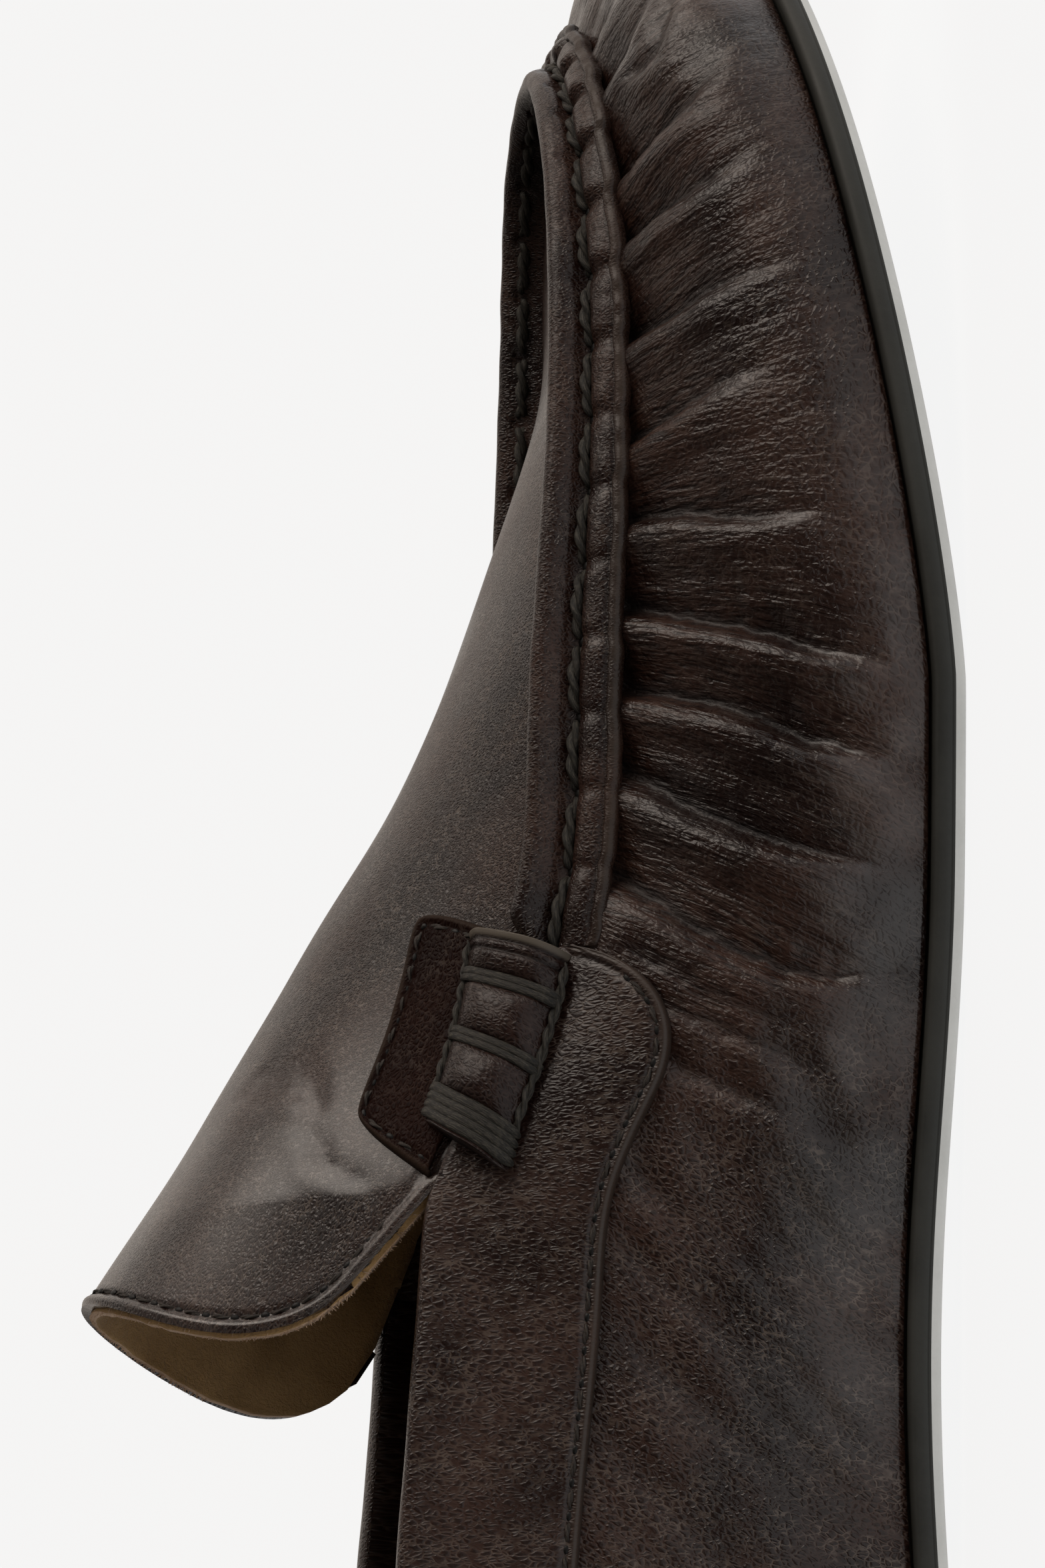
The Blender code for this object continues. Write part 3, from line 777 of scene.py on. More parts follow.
class Effects:
    """Node groups that several finishes share, each built once."""

    def __init__(self) -> None:
        """Start with none built."""
        self.made: dict[str, bpy.types.NodeTree] = {}

    def group(self, name: str, setting: str, outputs: Sequence[str]) -> tuple:
        """Empty group with its sockets.

        Args:
            name: Name of the group.
            setting: Name of the value that it takes beside the pattern coordinates.
            outputs: Names of the outputs, all values.

        Returns:
            The tree's helper, the sockets of the coordinates and the setting, and the output node.
        """
        tree = bpy.data.node_groups.new(name, "ShaderNodeTree")
        tree.interface.new_socket("Coordinates", in_out="INPUT", socket_type="NodeSocketVector")
        tree.interface.new_socket(setting, in_out="INPUT", socket_type="NodeSocketFloat")
        for label in outputs:
            tree.interface.new_socket(label, in_out="OUTPUT", socket_type="NodeSocketFloat")
        self.made[name] = tree
        helper = Tree(tree)
        start, end = helper.add("NodeGroupInput"), helper.add("NodeGroupOutput")
        return helper, start.outputs["Coordinates"], start.outputs[setting], end

    def use(self, owner: Tree, name: str, coordinates: object, **values: float) -> Node:
        """Place a group in a material.

        Args:
            owner: The material's tree.
            name: Name of the group, which is also the method that builds it.
            coordinates: Socket of the pattern coordinates in millimetres.
            values: Value of the group's setting, by its name.

        Returns:
            The group's node.
        """
        if name not in self.made:
            getattr(self, name)()
        node = owner.add("Group", {"node_tree": self.made[name]}, Coordinates=coordinates)
        for key, value in values.items():
            node.inputs[key].default_value = value
        return node

    def warp(self, helper: Tree, coordinates: object, scale: float, amount: float) -> object:
        """Coordinates pushed about by soft noise, so that a pattern isn't regular.

        Args:
            helper: The group's tree.
            coordinates: Socket to start from.
            scale: Scale of the noise.
            amount: How far it pushes.

        Returns:
            The socket of the new ones.
        """
        drift = helper.add("TexNoise", Vector=coordinates, Scale=scale, Detail=2.0).outputs["Color"]
        centred = helper.add("VectorMath", {"operation": "SUBTRACT"}, i0=drift, i1=(0.5, 0.5, 0.5))
        pushed = helper.add("VectorMath", {"operation": "SCALE"}, i0=centred.outputs[0], Scale=amount)
        return helper.add("VectorMath", {"operation": "ADD"}, i0=coordinates, i1=pushed.outputs[0]).outputs[0]

    def pebble(self) -> None:
        """Pebble grain: small domed cells, and a net of painted highlights on the fine folds between them."""
        helper, spot, size, end = self.group("pebble", "Cells", ["Height", "GlintNet"])
        edges = helper.cells(self.warp(helper, spot, 0.9, 0.75), size)
        patches = helper.ramp(helper.noise(spot, 0.2), 0.3, 0.66)
        breaks = helper.ramp(helper.noise(spot, 1.1, 1.0), 0.34, 0.62)
        # Net of painted highlights: light lines along the cell edges that stand for glints on the grain's
        # folds.
        net = helper.times(helper.ramp(edges, 0.015, 0.12, 1.0, 0.0), patches, breaks)
        domes = helper.math("MULTIPLY", helper.ramp(edges, 0.0, 0.34), 0.62)
        fine = helper.math("MULTIPLY", helper.noise(spot, 3.4), 0.6)
        helper.join(helper.math("ADD", domes, fine), end, "Height")
        helper.join(net, end, "GlintNet")

    def hairlines(self) -> None:
        """Fine creases that run down the leather where it was gathered: furrows and wrinkles for the bump,
        and light lines of painted highlight along them.
        """
        helper, spot, density, end = self.group("hairlines", "Density", ["GlintLines", "Furrows", "Wrinkles"])
        drawn_long = helper.add("Mapping", Vector=spot, Scale=(1.0, 0.15, 1.0)).outputs[0]
        place = self.warp(helper, drawn_long, 0.45, 0.9)
        edges = helper.cells(place, density)
        patches = helper.ramp(helper.noise(spot, 0.15), 0.4, 0.68)
        breaks = helper.ramp(helper.noise(drawn_long, 1.7, 1.0), 0.42, 0.66)
        # Light lines of painted highlight that stand for glints on the gathered wrinkles.
        helper.join(helper.times(helper.ramp(edges, 0.0, 0.1, 1.0, 0.0), patches, breaks), end, "GlintLines")
        for name, scale in (("Furrows", 0.85), ("Wrinkles", 2.5)):
            helper.join(helper.noise(place, scale, Roughness=0.55), end, name)

    def mottle(self) -> None:
        """Slow change of tone over the hide."""
        helper, spot, size, end = self.group("mottle", "Size", ["Tone"])
        helper.join(helper.ramp(helper.noise(spot, size, 5.0), 0.32, 0.68), end, "Tone")

    def nap(self) -> None:
        """Short fibres of suede, felt or spun thread."""
        helper, spot, fineness, end = self.group("nap", "Fineness", ["Fibres"])
        place = self.warp(helper, spot, 0.8, 0.8)
        helper.join(helper.noise(place, fineness, 4.0, Roughness=0.7), end, "Fibres")


EFFECTS = Effects()


def new_material(name: str) -> tuple[Material, Tree, Node]:
    """Material with one shader.

    Args:
        name: Name of the material.

    Returns:
        The material, its tree's helper and its shader node.
    """
    material = bpy.data.materials.new(name)
    material.use_nodes = True
    return material, Tree(material.node_tree), material.node_tree.nodes["Principled BSDF"]


def set_values(node: Node, **values: object) -> None:
    """Set a node's inputs; _ in a name stands for a space."""
    for name, value in values.items():
        node.inputs[name.replace("_", " ")].default_value = value


def place_in_shoe(tree: Tree) -> Socket:
    """Pattern coordinates in millimetres at a piece's own place in the shoe."""
    spot = tree.add("TexCoord").outputs["Object"]
    return tree.add("Mapping", Vector=spot, Scale=(1.0 / MM, 1.0 / MM, 1.0 / MM)).outputs[0]


@dataclass(frozen=True)
class LeatherFinish:
    """Waxed hide: pebble grain, hairlines and a grain net lightened with painted highlights, creases darkened
    with painted shade, and bare cut edges.
    """

    name: str
    deep: Colour = (0.0066, 0.0024, 0.0018)
    warm: Colour = (0.034, 0.0148, 0.0095)
    # Colour of the painted highlights on the grain's net and on the hairlines.
    line: Colour = (0.13, 0.102, 0.083)
    # Colour of the painted shade laid in creases, stitch grooves and pinches wherever the crease mask is set.
    crease: Colour = (0.004, 0.002, 0.0016)
    raw: Colour = (0.031, 0.0215, 0.0155)
    cells: float = 1.0
    stretch: float = 0.66
    pebble_depth: float = 0.1
    net_glint_share: float = 0.5
    hairline_glint_share: float = 0.35
    line_density: float = 2.1
    furrow_depth: float = 0.45
    wrinkle_depth: float = 0.36
    roughness: tuple[float, float] = (0.24, 0.37)
    gloss: float = 0.27
    coat: float = 0.1
    sheen_coat: float = 0.6
    coat_roughness: float = 0.2
    crease_shade_share: float = 0.75
    matt_share: float = 0.35
    cloud_size: float = 0.07

    def material(self) -> Material:
        """Build the material, which reads the piece's chart and its crease, gather, raw and sheen masks; the
        crease mask lays painted shade.
        """
        material, tree, shader = new_material(self.name)
        chart = tree.add("UVMap", {"uv_map": CHART}).outputs["UV"]
        place = tree.add("Mapping", Vector=chart, Scale=(1.0, self.stretch, 1.0)).outputs[0]
        grain = EFFECTS.use(tree, "pebble", place, Cells=self.cells)
        hair = EFFECTS.use(tree, "hairlines", chart, Density=self.line_density)
        tone = EFFECTS.use(tree, "mottle", chart, Size=self.cloud_size).outputs["Tone"]
        masks = ("crease", "gather", "raw", "sheen")
        crease_shade, gather, raw, sheen = (
            tree.add("Attribute", {"attribute_name": name}).outputs["Fac"] for name in masks
        )
        grained = tree.math("SUBTRACT", 1.0, tree.math("MAXIMUM", raw, tree.math("MULTIPLY", gather, 0.5)))
        # Net of painted highlights over the grain, weaker where the leather is raw or gathered.
        net = tree.times(grain.outputs["GlintNet"], self.net_glint_share, tree.times(grained, grained))
        hairline_glints = tree.times(hair.outputs["GlintLines"], self.hairline_glint_share, gather)
        pebbles = tree.times(grain.outputs["Height"], self.pebble_depth * MM, grained)
        furrows = tree.times(hair.outputs["Furrows"], self.furrow_depth * MM, gather)
        wrinkles = tree.times(hair.outputs["Wrinkles"], self.wrinkle_depth * MM, gather)
        folds = tree.math("ADD", furrows, wrinkles)
        domes = tree.math("MULTIPLY", grain.outputs["Height"], grained)
        # Painted shade: darker in the troughs of the gathered wrinkles; the darker dome centres are the
        # grain's own tone.
        wrinkle_shade = tree.math("MULTIPLY", tree.ramp(hair.outputs["Wrinkles"], 0.36, 0.6, 1.0, 0.0), gather)
        shade = tree.math("SUBTRACT", 1.15, tree.math("MAXIMUM", domes, wrinkle_shade))
        colour = tree.blend(tree.times(tone, tree.math("MAXIMUM", shade, 0.0)), self.deep, self.warm)
        # Painted highlights: the light net and hairlines stand for glints on the grain and wrinkles.
        colour = tree.blend(tree.math("MAXIMUM", net, hairline_glints), colour, self.line)
        colour = tree.blend(raw, colour, self.raw)
        # Painted shade: the crease colour darkens the hide where the crease mask is set.
        colour = tree.blend(tree.math("MULTIPLY", crease_shade, self.crease_shade_share), colour, self.crease)
        tree.join(colour, shader, "Base Color")
        worn = tree.ramp(tone, 0.0, 1.0, *self.roughness)
        matt = tree.math("MULTIPLY", tree.math("ADD", crease_shade, raw), self.matt_share)
        tree.join(tree.math("ADD", worn, matt), shader, "Roughness")
        tree.dent(shader, tree.math("ADD", pebbles, folds))
        shine = tree.math("ADD", tree.math("MULTIPLY", sheen, self.sheen_coat), self.coat)
        tree.join(shine, shader, "Coat Weight")
        set_values(shader, Specular_IOR_Level=self.gloss, Coat_Roughness=self.coat_roughness)
        return material


@dataclass(frozen=True)
class SuedeFinish:
    """Flesh side of the hide: ochre nap with soft clouds."""

    name: str
    low: Colour = (0.25, 0.142, 0.052)
    high: Colour = (0.52, 0.33, 0.15)
    roughness: float = 0.95
    fineness: float = 2.2
    depth: float = 0.35
    cloud_size: float = 0.12
    gloss: float = 0.15
    sheen: float = 0.15

    def material(self) -> Material:
        """Build the material on the piece's own place in the shoe."""
        material, tree, shader = new_material(self.name)
        place = place_in_shoe(tree)
        fibres = EFFECTS.use(tree, "nap", place, Fineness=self.fineness).outputs["Fibres"]
        tone = EFFECTS.use(tree, "mottle", place, Size=self.cloud_size).outputs["Tone"]
        mixed = tree.math("ADD", tree.math("MULTIPLY", tone, 0.6), tree.math("MULTIPLY", fibres, 0.5))
        tree.join(tree.blend(mixed, self.low, self.high), shader, "Base Color")
        tree.dent(shader, tree.math("MULTIPLY", fibres, self.depth * MM))
        set_values(shader, Roughness=self.roughness, Specular_IOR_Level=self.gloss, Sheen_Weight=self.sheen)
        return material


@dataclass(frozen=True)
class RubberFinish:
    """Moulded rubber with a faint bloom."""

    name: str
    low: Colour = (0.016, 0.0165, 0.015)
    high: Colour = (0.034, 0.0345, 0.031)
    roughness: tuple[float, float] = (0.45, 0.62)
    fineness: float = 1.6
    depth: float = 0.02
    cloud_size: float = 0.09
    gloss: float = 0.2

    def material(self) -> Material:
        """Build the material on the piece's own place in the shoe."""
        material, tree, shader = new_material(self.name)
        place = place_in_shoe(tree)
        tone = EFFECTS.use(tree, "mottle", place, Size=self.cloud_size).outputs["Tone"]
        specks = EFFECTS.use(tree, "nap", place, Fineness=self.fineness).outputs["Fibres"]
        mixed = tree.math("MULTIPLY", tree.math("ADD", tone, specks), 0.55)
        tree.join(tree.blend(mixed, self.low, self.high), shader, "Base Color")
        tree.join(tree.ramp(tone, 0.0, 1.0, *self.roughness), shader, "Roughness")
        tree.dent(shader, tree.math("MULTIPLY", specks, self.depth * MM))
        set_values(shader, Specular_IOR_Level=self.gloss)
        return material


@dataclass(frozen=True)
class ThreadFinish:
    """Waxed spun thread, with fibres along each ply."""

    name: str
    low: Colour = (0.006, 0.0054, 0.0043)
    high: Colour = (0.052, 0.046, 0.036)
    roughness: float = 0.55
    fineness: float = 4.0
    depth: float = 0.12
    gloss: float = 0.26

    def material(self) -> Material:
        """Build the material on the thread's own length and girth."""
        material, tree, shader = new_material(self.name)
        chart = tree.add("UVMap", {"uv_map": CHART}).outputs["UV"]
        place = tree.add("Mapping", Vector=chart, Scale=(0.35, 2.2, 1.0)).outputs[0]
        fibres = EFFECTS.use(tree, "nap", place, Fineness=self.fineness).outputs["Fibres"]
        share = tree.ramp(fibres, 0.42, 0.66)
        tree.join(tree.blend(share, self.low, self.high), shader, "Base Color")
        tree.dent(shader, tree.math("MULTIPLY", fibres, self.depth * MM))
        set_values(shader, Roughness=self.roughness, Specular_IOR_Level=self.gloss)
        return material


class Crease(NamedTuple):
    """One fold of the gathered vamp: points of distance back from the toe's tip and drop below the rim."""

    name: str
    line: tuple[tuple[float, float], ...]
    depth: float
    toe_reach: float
    heel_reach: float
    crest: float
    hold: float


CREASES = (
    Crease("toe_middle", ((1.0, 3.0), (1.0, 8.0), (0.5, 15.0)), 0.9, 2.2, 1.2, 0.45, 0.2),
    Crease("toe_second", ((11.5, 3.0), (11.0, 9.0), (9.0, 17.0)), 1.1, 2.4, 1.2, 0.5, 0.2),
    Crease("toe_third", ((21.5, 3.0), (20.5, 8.0), (18.0, 16.0)), 1.2, 2.4, 1.2, 0.55, 0.2),
    Crease(
        "toe_side", ((30.8, 3.0), (30.0, 5.9), (28.7, 9.2), (26.2, 13.2), (23.5, 18.0)),
        1.6, 2.6, 1.2, 0.7, 0.25,
    ),
    Crease(
        "toe_side_inner", ((32.8, 10.4), (30.6, 15.2), (27.1, 17.9), (24.0, 21.0)),
        0.8, 1.5, 0.9, 0.4, 0.3,
    ),
    Crease(
        "little_toe", ((43.2, 3.0), (42.6, 5.2), (40.7, 12.0), (38.8, 17.5), (35.0, 21.5), (29.6, 25.8)),
        1.8, 3.0, 1.3, 0.8, 0.3,
    ),
    Crease(
        "outer_first", ((50.6, 3.0), (50.2, 5.8), (49.3, 11.1), (48.3, 17.1), (46.4, 22.0), (44.2, 26.2)),
        1.7, 2.7, 1.2, 0.75, 0.25,
    ),
    Crease(
        "outer_second", ((61.6, 3.0), (61.3, 6.7), (60.7, 11.3), (59.1, 18.1), (58.5, 22.8), (57.5, 26.8)),
        1.8, 2.9, 1.2, 0.8, 0.25,
    ),
    Crease(
        "outer_third", ((73.0, 3.0), (72.4, 6.1), (71.1, 11.6), (70.2, 15.0), (69.2, 18.9), (68.6, 24.6)),
        1.6, 2.6, 1.2, 0.7, 0.25,
    ),
    Crease(
        "joint_first", ((81.0, 3.0), (81.3, 6.1), (81.9, 11.5), (83.2, 17.1), (83.8, 22.4), (82.9, 30.0)),
        2.0, 2.4, 1.2, 0.8, 0.35,
    ),
    Crease(
        "joint_second",
        ((90.4, 3.0), (91.1, 5.4), (92.7, 11.1), (94.3, 17.2), (95.9, 22.7), (97.5, 27.9), (98.4, 36.0)),
        2.4, 2.9, 1.1, 0.95, 0.55,
    ),
    Crease(
        "ball_first",
        ((99.4, 3.0), (100.0, 5.8), (101.6, 12.9), (103.8, 19.9), (106.0, 25.0), (107.3, 29.5),
         (108.2, 36.0)),
        2.4, 2.9, 1.1, 0.9, 0.6,
    ),
    Crease(
        "ball_second",
        ((107.6, 3.0), (108.9, 5.4), (112.0, 11.2), (115.5, 19.5), (117.4, 26.6), (119.3, 36.0)),
        2.0, 2.6, 1.2, 0.75, 0.55,
    ),
    Crease(
        "ball_third",
        ((119.0, 3.0), (120.3, 6.4), (124.7, 14.7), (128.5, 23.0), (129.8, 27.9), (129.8, 34.6),
         (128.5, 41.0)),
        1.9, 2.8, 1.4, 0.65, 0.55,
    ),
    Crease(
        "waist_first", ((127.5, 10.0), (129.5, 14.1), (132.6, 20.5), (134.5, 26.7), (135.8, 34.0)),
        0.7, 1.4, 0.9, 0.25, 0.4,
    ),
    Crease(
        "waist_second", ((131.0, 10.0), (133.3, 15.5), (136.1, 23.2), (138.6, 31.2), (141.5, 41.0)),
        0.8, 1.6, 0.9, 0.28, 0.4,
    ),
    Crease(
        "waist_third", ((135.5, 12.0), (138.0, 16.4), (141.8, 25.8), (144.0, 33.5), (146.0, 40.0)),
        0.7, 1.5, 0.9, 0.22, 0.4,
    ),
    Crease("quarter_first", ((150.0, 19.0), (155.0, 27.0), (161.0, 36.0)), 0.5, 2.2, 1.4, 0.25, 0.3),
    Crease("quarter_second", ((158.0, 20.0), (164.0, 28.0), (171.0, 38.0)), 0.45, 2.4, 1.5, 0.25, 0.3),
    Crease("quarter_third", ((168.0, 21.0), (174.0, 29.0), (182.0, 38.0)), 0.4, 2.4, 1.5, 0.2, 0.3),
)

WRINKLES = (
    Crease("tongue_long", ((117.1, 11.6), (120.7, 18.0), (124.2, 24.0)), 0.4, 0.7, 0.6, 0.14, 0.6),
    Crease("tongue_upper", ((116.6, 15.6), (119.5, 19.2), (122.4, 22.2)), 0.28, 0.6, 0.5, 0.1, 0.6),
    Crease("tongue_short", ((114.8, 12.4), (116.6, 15.0), (118.0, 17.1)), 0.22, 0.6, 0.5, 0.08, 0.6),
    Crease("tongue_lower", ((125.0, 21.4), (128.5, 25.0), (132.0, 28.6)), 0.28, 0.7, 0.6, 0.1, 0.6),
    Crease("tongue_edge", ((130.2, 25.9), (132.4, 30.4), (134.7, 34.9)), 0.28, 0.7, 0.6, 0.1, 0.6),
    Crease("tongue_high", ((119.6, 9.8), (120.7, 12.4), (122.4, 17.1)), 0.22, 0.7, 0.6, 0.08, 0.6),
)

LEAN = (
    (0.0, 0.0), (30.0, -0.32), (45.0, -0.34), (62.0, -0.22), (82.0, 0.04), (104.0, 0.28), (128.0, 0.38),
    (160.0, 0.3), (280.0, 0.0),
)


@dataclass(frozen=True)
class FoldShape:
    """What all folds share: how far they wander, and the weights and widths of trough, hollow and crest."""

    wander: float = 0.55
    wander_size: tuple[float, float] = (3.4, 1.3)
    trough: float = 0.75
    trough_power: float = 1.1
    heel_share: float = 0.7
    hollow: float = 0.45
    hollow_reach: float = 2.6
    crest_reach: float = 1.9
    strain_reach: float = 1.6
    step: float = 0.5


FOLD = FoldShape()


def relief(creases: Sequence[Crease], run: Array, drop: Array) -> tuple[Array, ...]:
    """Height of the folds and how deep in a fold each point lies.

    Args:
        creases: The folds.
        run: First coordinate of each point.
        drop: Second coordinate of each point, along which the folds run.

    Returns:
        Height in millimetres, a narrow mask in each fold that lays painted shade, and a wide one round it,
        both from 0 to 1.
    """
    height, fold, strain = np.zeros_like(run), np.zeros_like(run), np.zeros_like(run)
    for crease in creases:
        runs = np.array([point[0] for point in crease.line])
        drops = np.array([point[1] for point in crease.line])
        path = Spline(drops, runs[:, None])
        inside = np.clip(drop, drops[0], drops[-1])
        coarse, fine = FOLD.wander_size
        wander = np.stack([drop / coarse, drop / fine, np.full_like(drop, runs[0])], axis=-1)
        centre = path(inside.ravel())[:, 0].reshape(run.shape)
        ahead = path(np.clip(inside + FOLD.step, drops[0], drops[-1]).ravel())[:, 0].reshape(run.shape)
        away = (run - centre) / np.sqrt(1.0 + ((ahead - centre) / FOLD.step) ** 2)
        close = away - FOLD.wander * rough_field(wander, 1.0, 0.3)
        span = drops[-1] - drops[0]
        fade = 1.0 - smooth(drops[0] + crease.hold * span, drops[-1] + 1.0, drop)
        fade = fade * smooth(drops[0] - 2.5, drops[0] + 1.0, drop)
        reach = np.where(close < 0.0, crease.toe_reach, FOLD.heel_share * crease.heel_reach)
        reach = reach * (0.6 + 0.4 * fade)
        height -= FOLD.trough * crease.depth * fade * np.exp(-np.abs(close / reach) ** FOLD.trough_power)
        hollow = np.where(away < 0.0, FOLD.hollow_reach * crease.toe_reach, 1.0)
        height -= FOLD.hollow * crease.depth * fade * bell(away, hollow)
        crest = FOLD.crest_reach * crease.heel_reach
        height += crease.crest * fade * bell(away - crest - FOLD.step, crest)
        above = np.clip((drop - drops[0]) / span, 0.0, 1.0)
        wide = 0.3 + 0.3 * crease.depth * (1.0 - above) ** 2
        # Mask of painted shade: dark in the fold, wider near the rim and shifted to the toe side.
        fold = np.maximum(fold, fade * min(crease.depth / 1.5, 1.0) * bell(close + 0.55 * wide, wide))
        strain = np.maximum(strain, fade * bell(away, FOLD.strain_reach * crease.toe_reach))
    return height, fold, strain


@dataclass
class UpperWall:
    """Vamp and quarters: one hollow wall gathered into pleats under the seam, lined inside."""

    quarter_columns: int = 100
    vamp_columns: int = 400
    outer_rows: int = 72
    inner_rows: int = 12
    thickness: float = 1.8
    gathered_thickness: float = 3.3
    gather_end: float = 122.0
    gather_fade: float = 152.0
    furrow: float = 0.16
    furrow_size: float = 1.5
    slack: float = 0.22
    slack_size: float = 15.0
    drape: float = 0.7
    drape_size: float = 4.5
    drape_window: tuple[float, float, float, float] = (118.0, 140.0, 185.0, 235.0)
    sheen_window: tuple[float, float, float, float] = (60.0, 95.0, 165.0, 190.0)
    suede_start: float = 18.0

    def columns(self) -> Array:
        """Places round the shoe, close together on the vamp."""
        lateral, medial = LAST.throat[Side.LATERAL], LAST.throat[Side.MEDIAL]
        stops = (
            np.linspace(0.0, lateral, self.quarter_columns + 1)[:-1],
            np.linspace(lateral, LAST.tip, self.vamp_columns + 1)[:-1],
            np.linspace(LAST.tip, medial, self.vamp_columns + 1)[:-1],
            np.linspace(medial, 1.0, self.quarter_columns + 1),
        )
        return np.concatenate(stops)

    def build(self, materials: Sequence[Material]) -> Piece:
        """Make the wall as one closed solid.

        Args:
            materials: Leather outside, suede inside the vamp, smooth leather inside the quarters.

        Returns:
            The piece.
        """
        t = self.columns()
        share = shares(self.outer_rows)
        base = LAST.wall(t, share)
        normals = grid_normals(base, closed=True)
        length = LAST.wall_length(t)[:, None]
        drop = (1.0 - share)[None, :] * length
        run = np.broadcast_to(LAST.run_of(t)[:, None], drop.shape)
        height, fold, strain = relief(CREASES, run, drop)
        gathered = 1.0 - smooth(self.gather_end, self.gather_fade, run)
        gather = np.clip(gathered * (0.55 + 0.7 * strain), 0.0, 1.0)
        lean = np.interp(run, [x[0] for x in LEAN], [x[1] for x in LEAN])
        straight = run - lean * drop
        side = np.where(t <= LAST.tip, 1.0, -1.0)[:, None]
        chart = np.stack([side * straight, drop], axis=-1)
        spun = level_points(side * straight, drop * 0.18)
        furrows = self.furrow * gathered * rough_field(spun, self.furrow_size, 3.1)
        height = height + furrows * smooth(3.0, 8.0, drop)
        slack = self.slack * rough_field(base, self.slack_size, 7.7)
        height = height + slack * smooth(0.0, 6.0, length - drop)
        slanted = level_points(side * (run - drop), 0.25 * (run + drop))
        loose = between(self.drape_window, run) * smooth(12.0, 24.0, drop)
        height = height + self.drape * loose * rough_field(slanted, self.drape_size, 5.3)
        height = height * smooth(0.0, 2.5, length - drop)
        low = bell(length - drop - 4.0, 8.0) * between(self.sheen_window, run)
        cloud = np.clip(0.75 + 0.9 * rough_field(base, 5.0, 1.9), 0.0, 1.0)
        sheen = cloud * np.maximum(low, 1.0 - smooth(16.0, 42.0, run))
        outer = base + normals * height[..., None]
        inner_share = np.linspace(1.0, 0.0, self.inner_rows)
        inner_base = LAST.wall(t, inner_share)
        depth = self.thickness + (self.gathered_thickness - self.thickness) * gathered[:, :1, None]
        inner = inner_base + grid_normals(inner_base, closed=True) * depth
        points = np.concatenate([outer, inner, outer[:, :1]], axis=1)
        inner_drop = (1.0 - inner_share)[None, :] * length
        inner_chart = np.stack([np.broadcast_to(chart[:, :1, 0], inner_drop.shape), -inner_drop], axis=-1)
        charts = np.concatenate([chart, inner_chart, chart[:, :1]], axis=1)

        def padded(values: Array, inner: float = 0.0) -> Array:
            """Values of the outside, one value on the inside, and the first row again."""
            return np.concatenate([values, np.full_like(inner_drop, inner), values[:, :1]], axis=1)

        bm = bmesh.new()
        # The crease mask lays painted shade in the vamp's folds.
        masks = {"crease": padded(fold), "gather": padded(gather), "sheen": padded(sheen)}
        masks["inside"] = padded(np.zeros_like(drop), 1.0)
        lay_grid(bm, points, charts, masks)
        layer = bm.verts.layers.float["inside"]
        throat_y = LAST.rim_y(LAST.throat[Side.LATERAL])[0]
        suede_y = (throat_y + self.suede_start - LAST.length / 2) * MM
        for face in bm.faces:
            if all(vert[layer] > 0.5 for vert in face.verts):
                face.material_index = 1 if face.calc_center_median().y > suede_y else 2
        return add_piece("vamp_and_quarters", bm, materials, ["upper"])


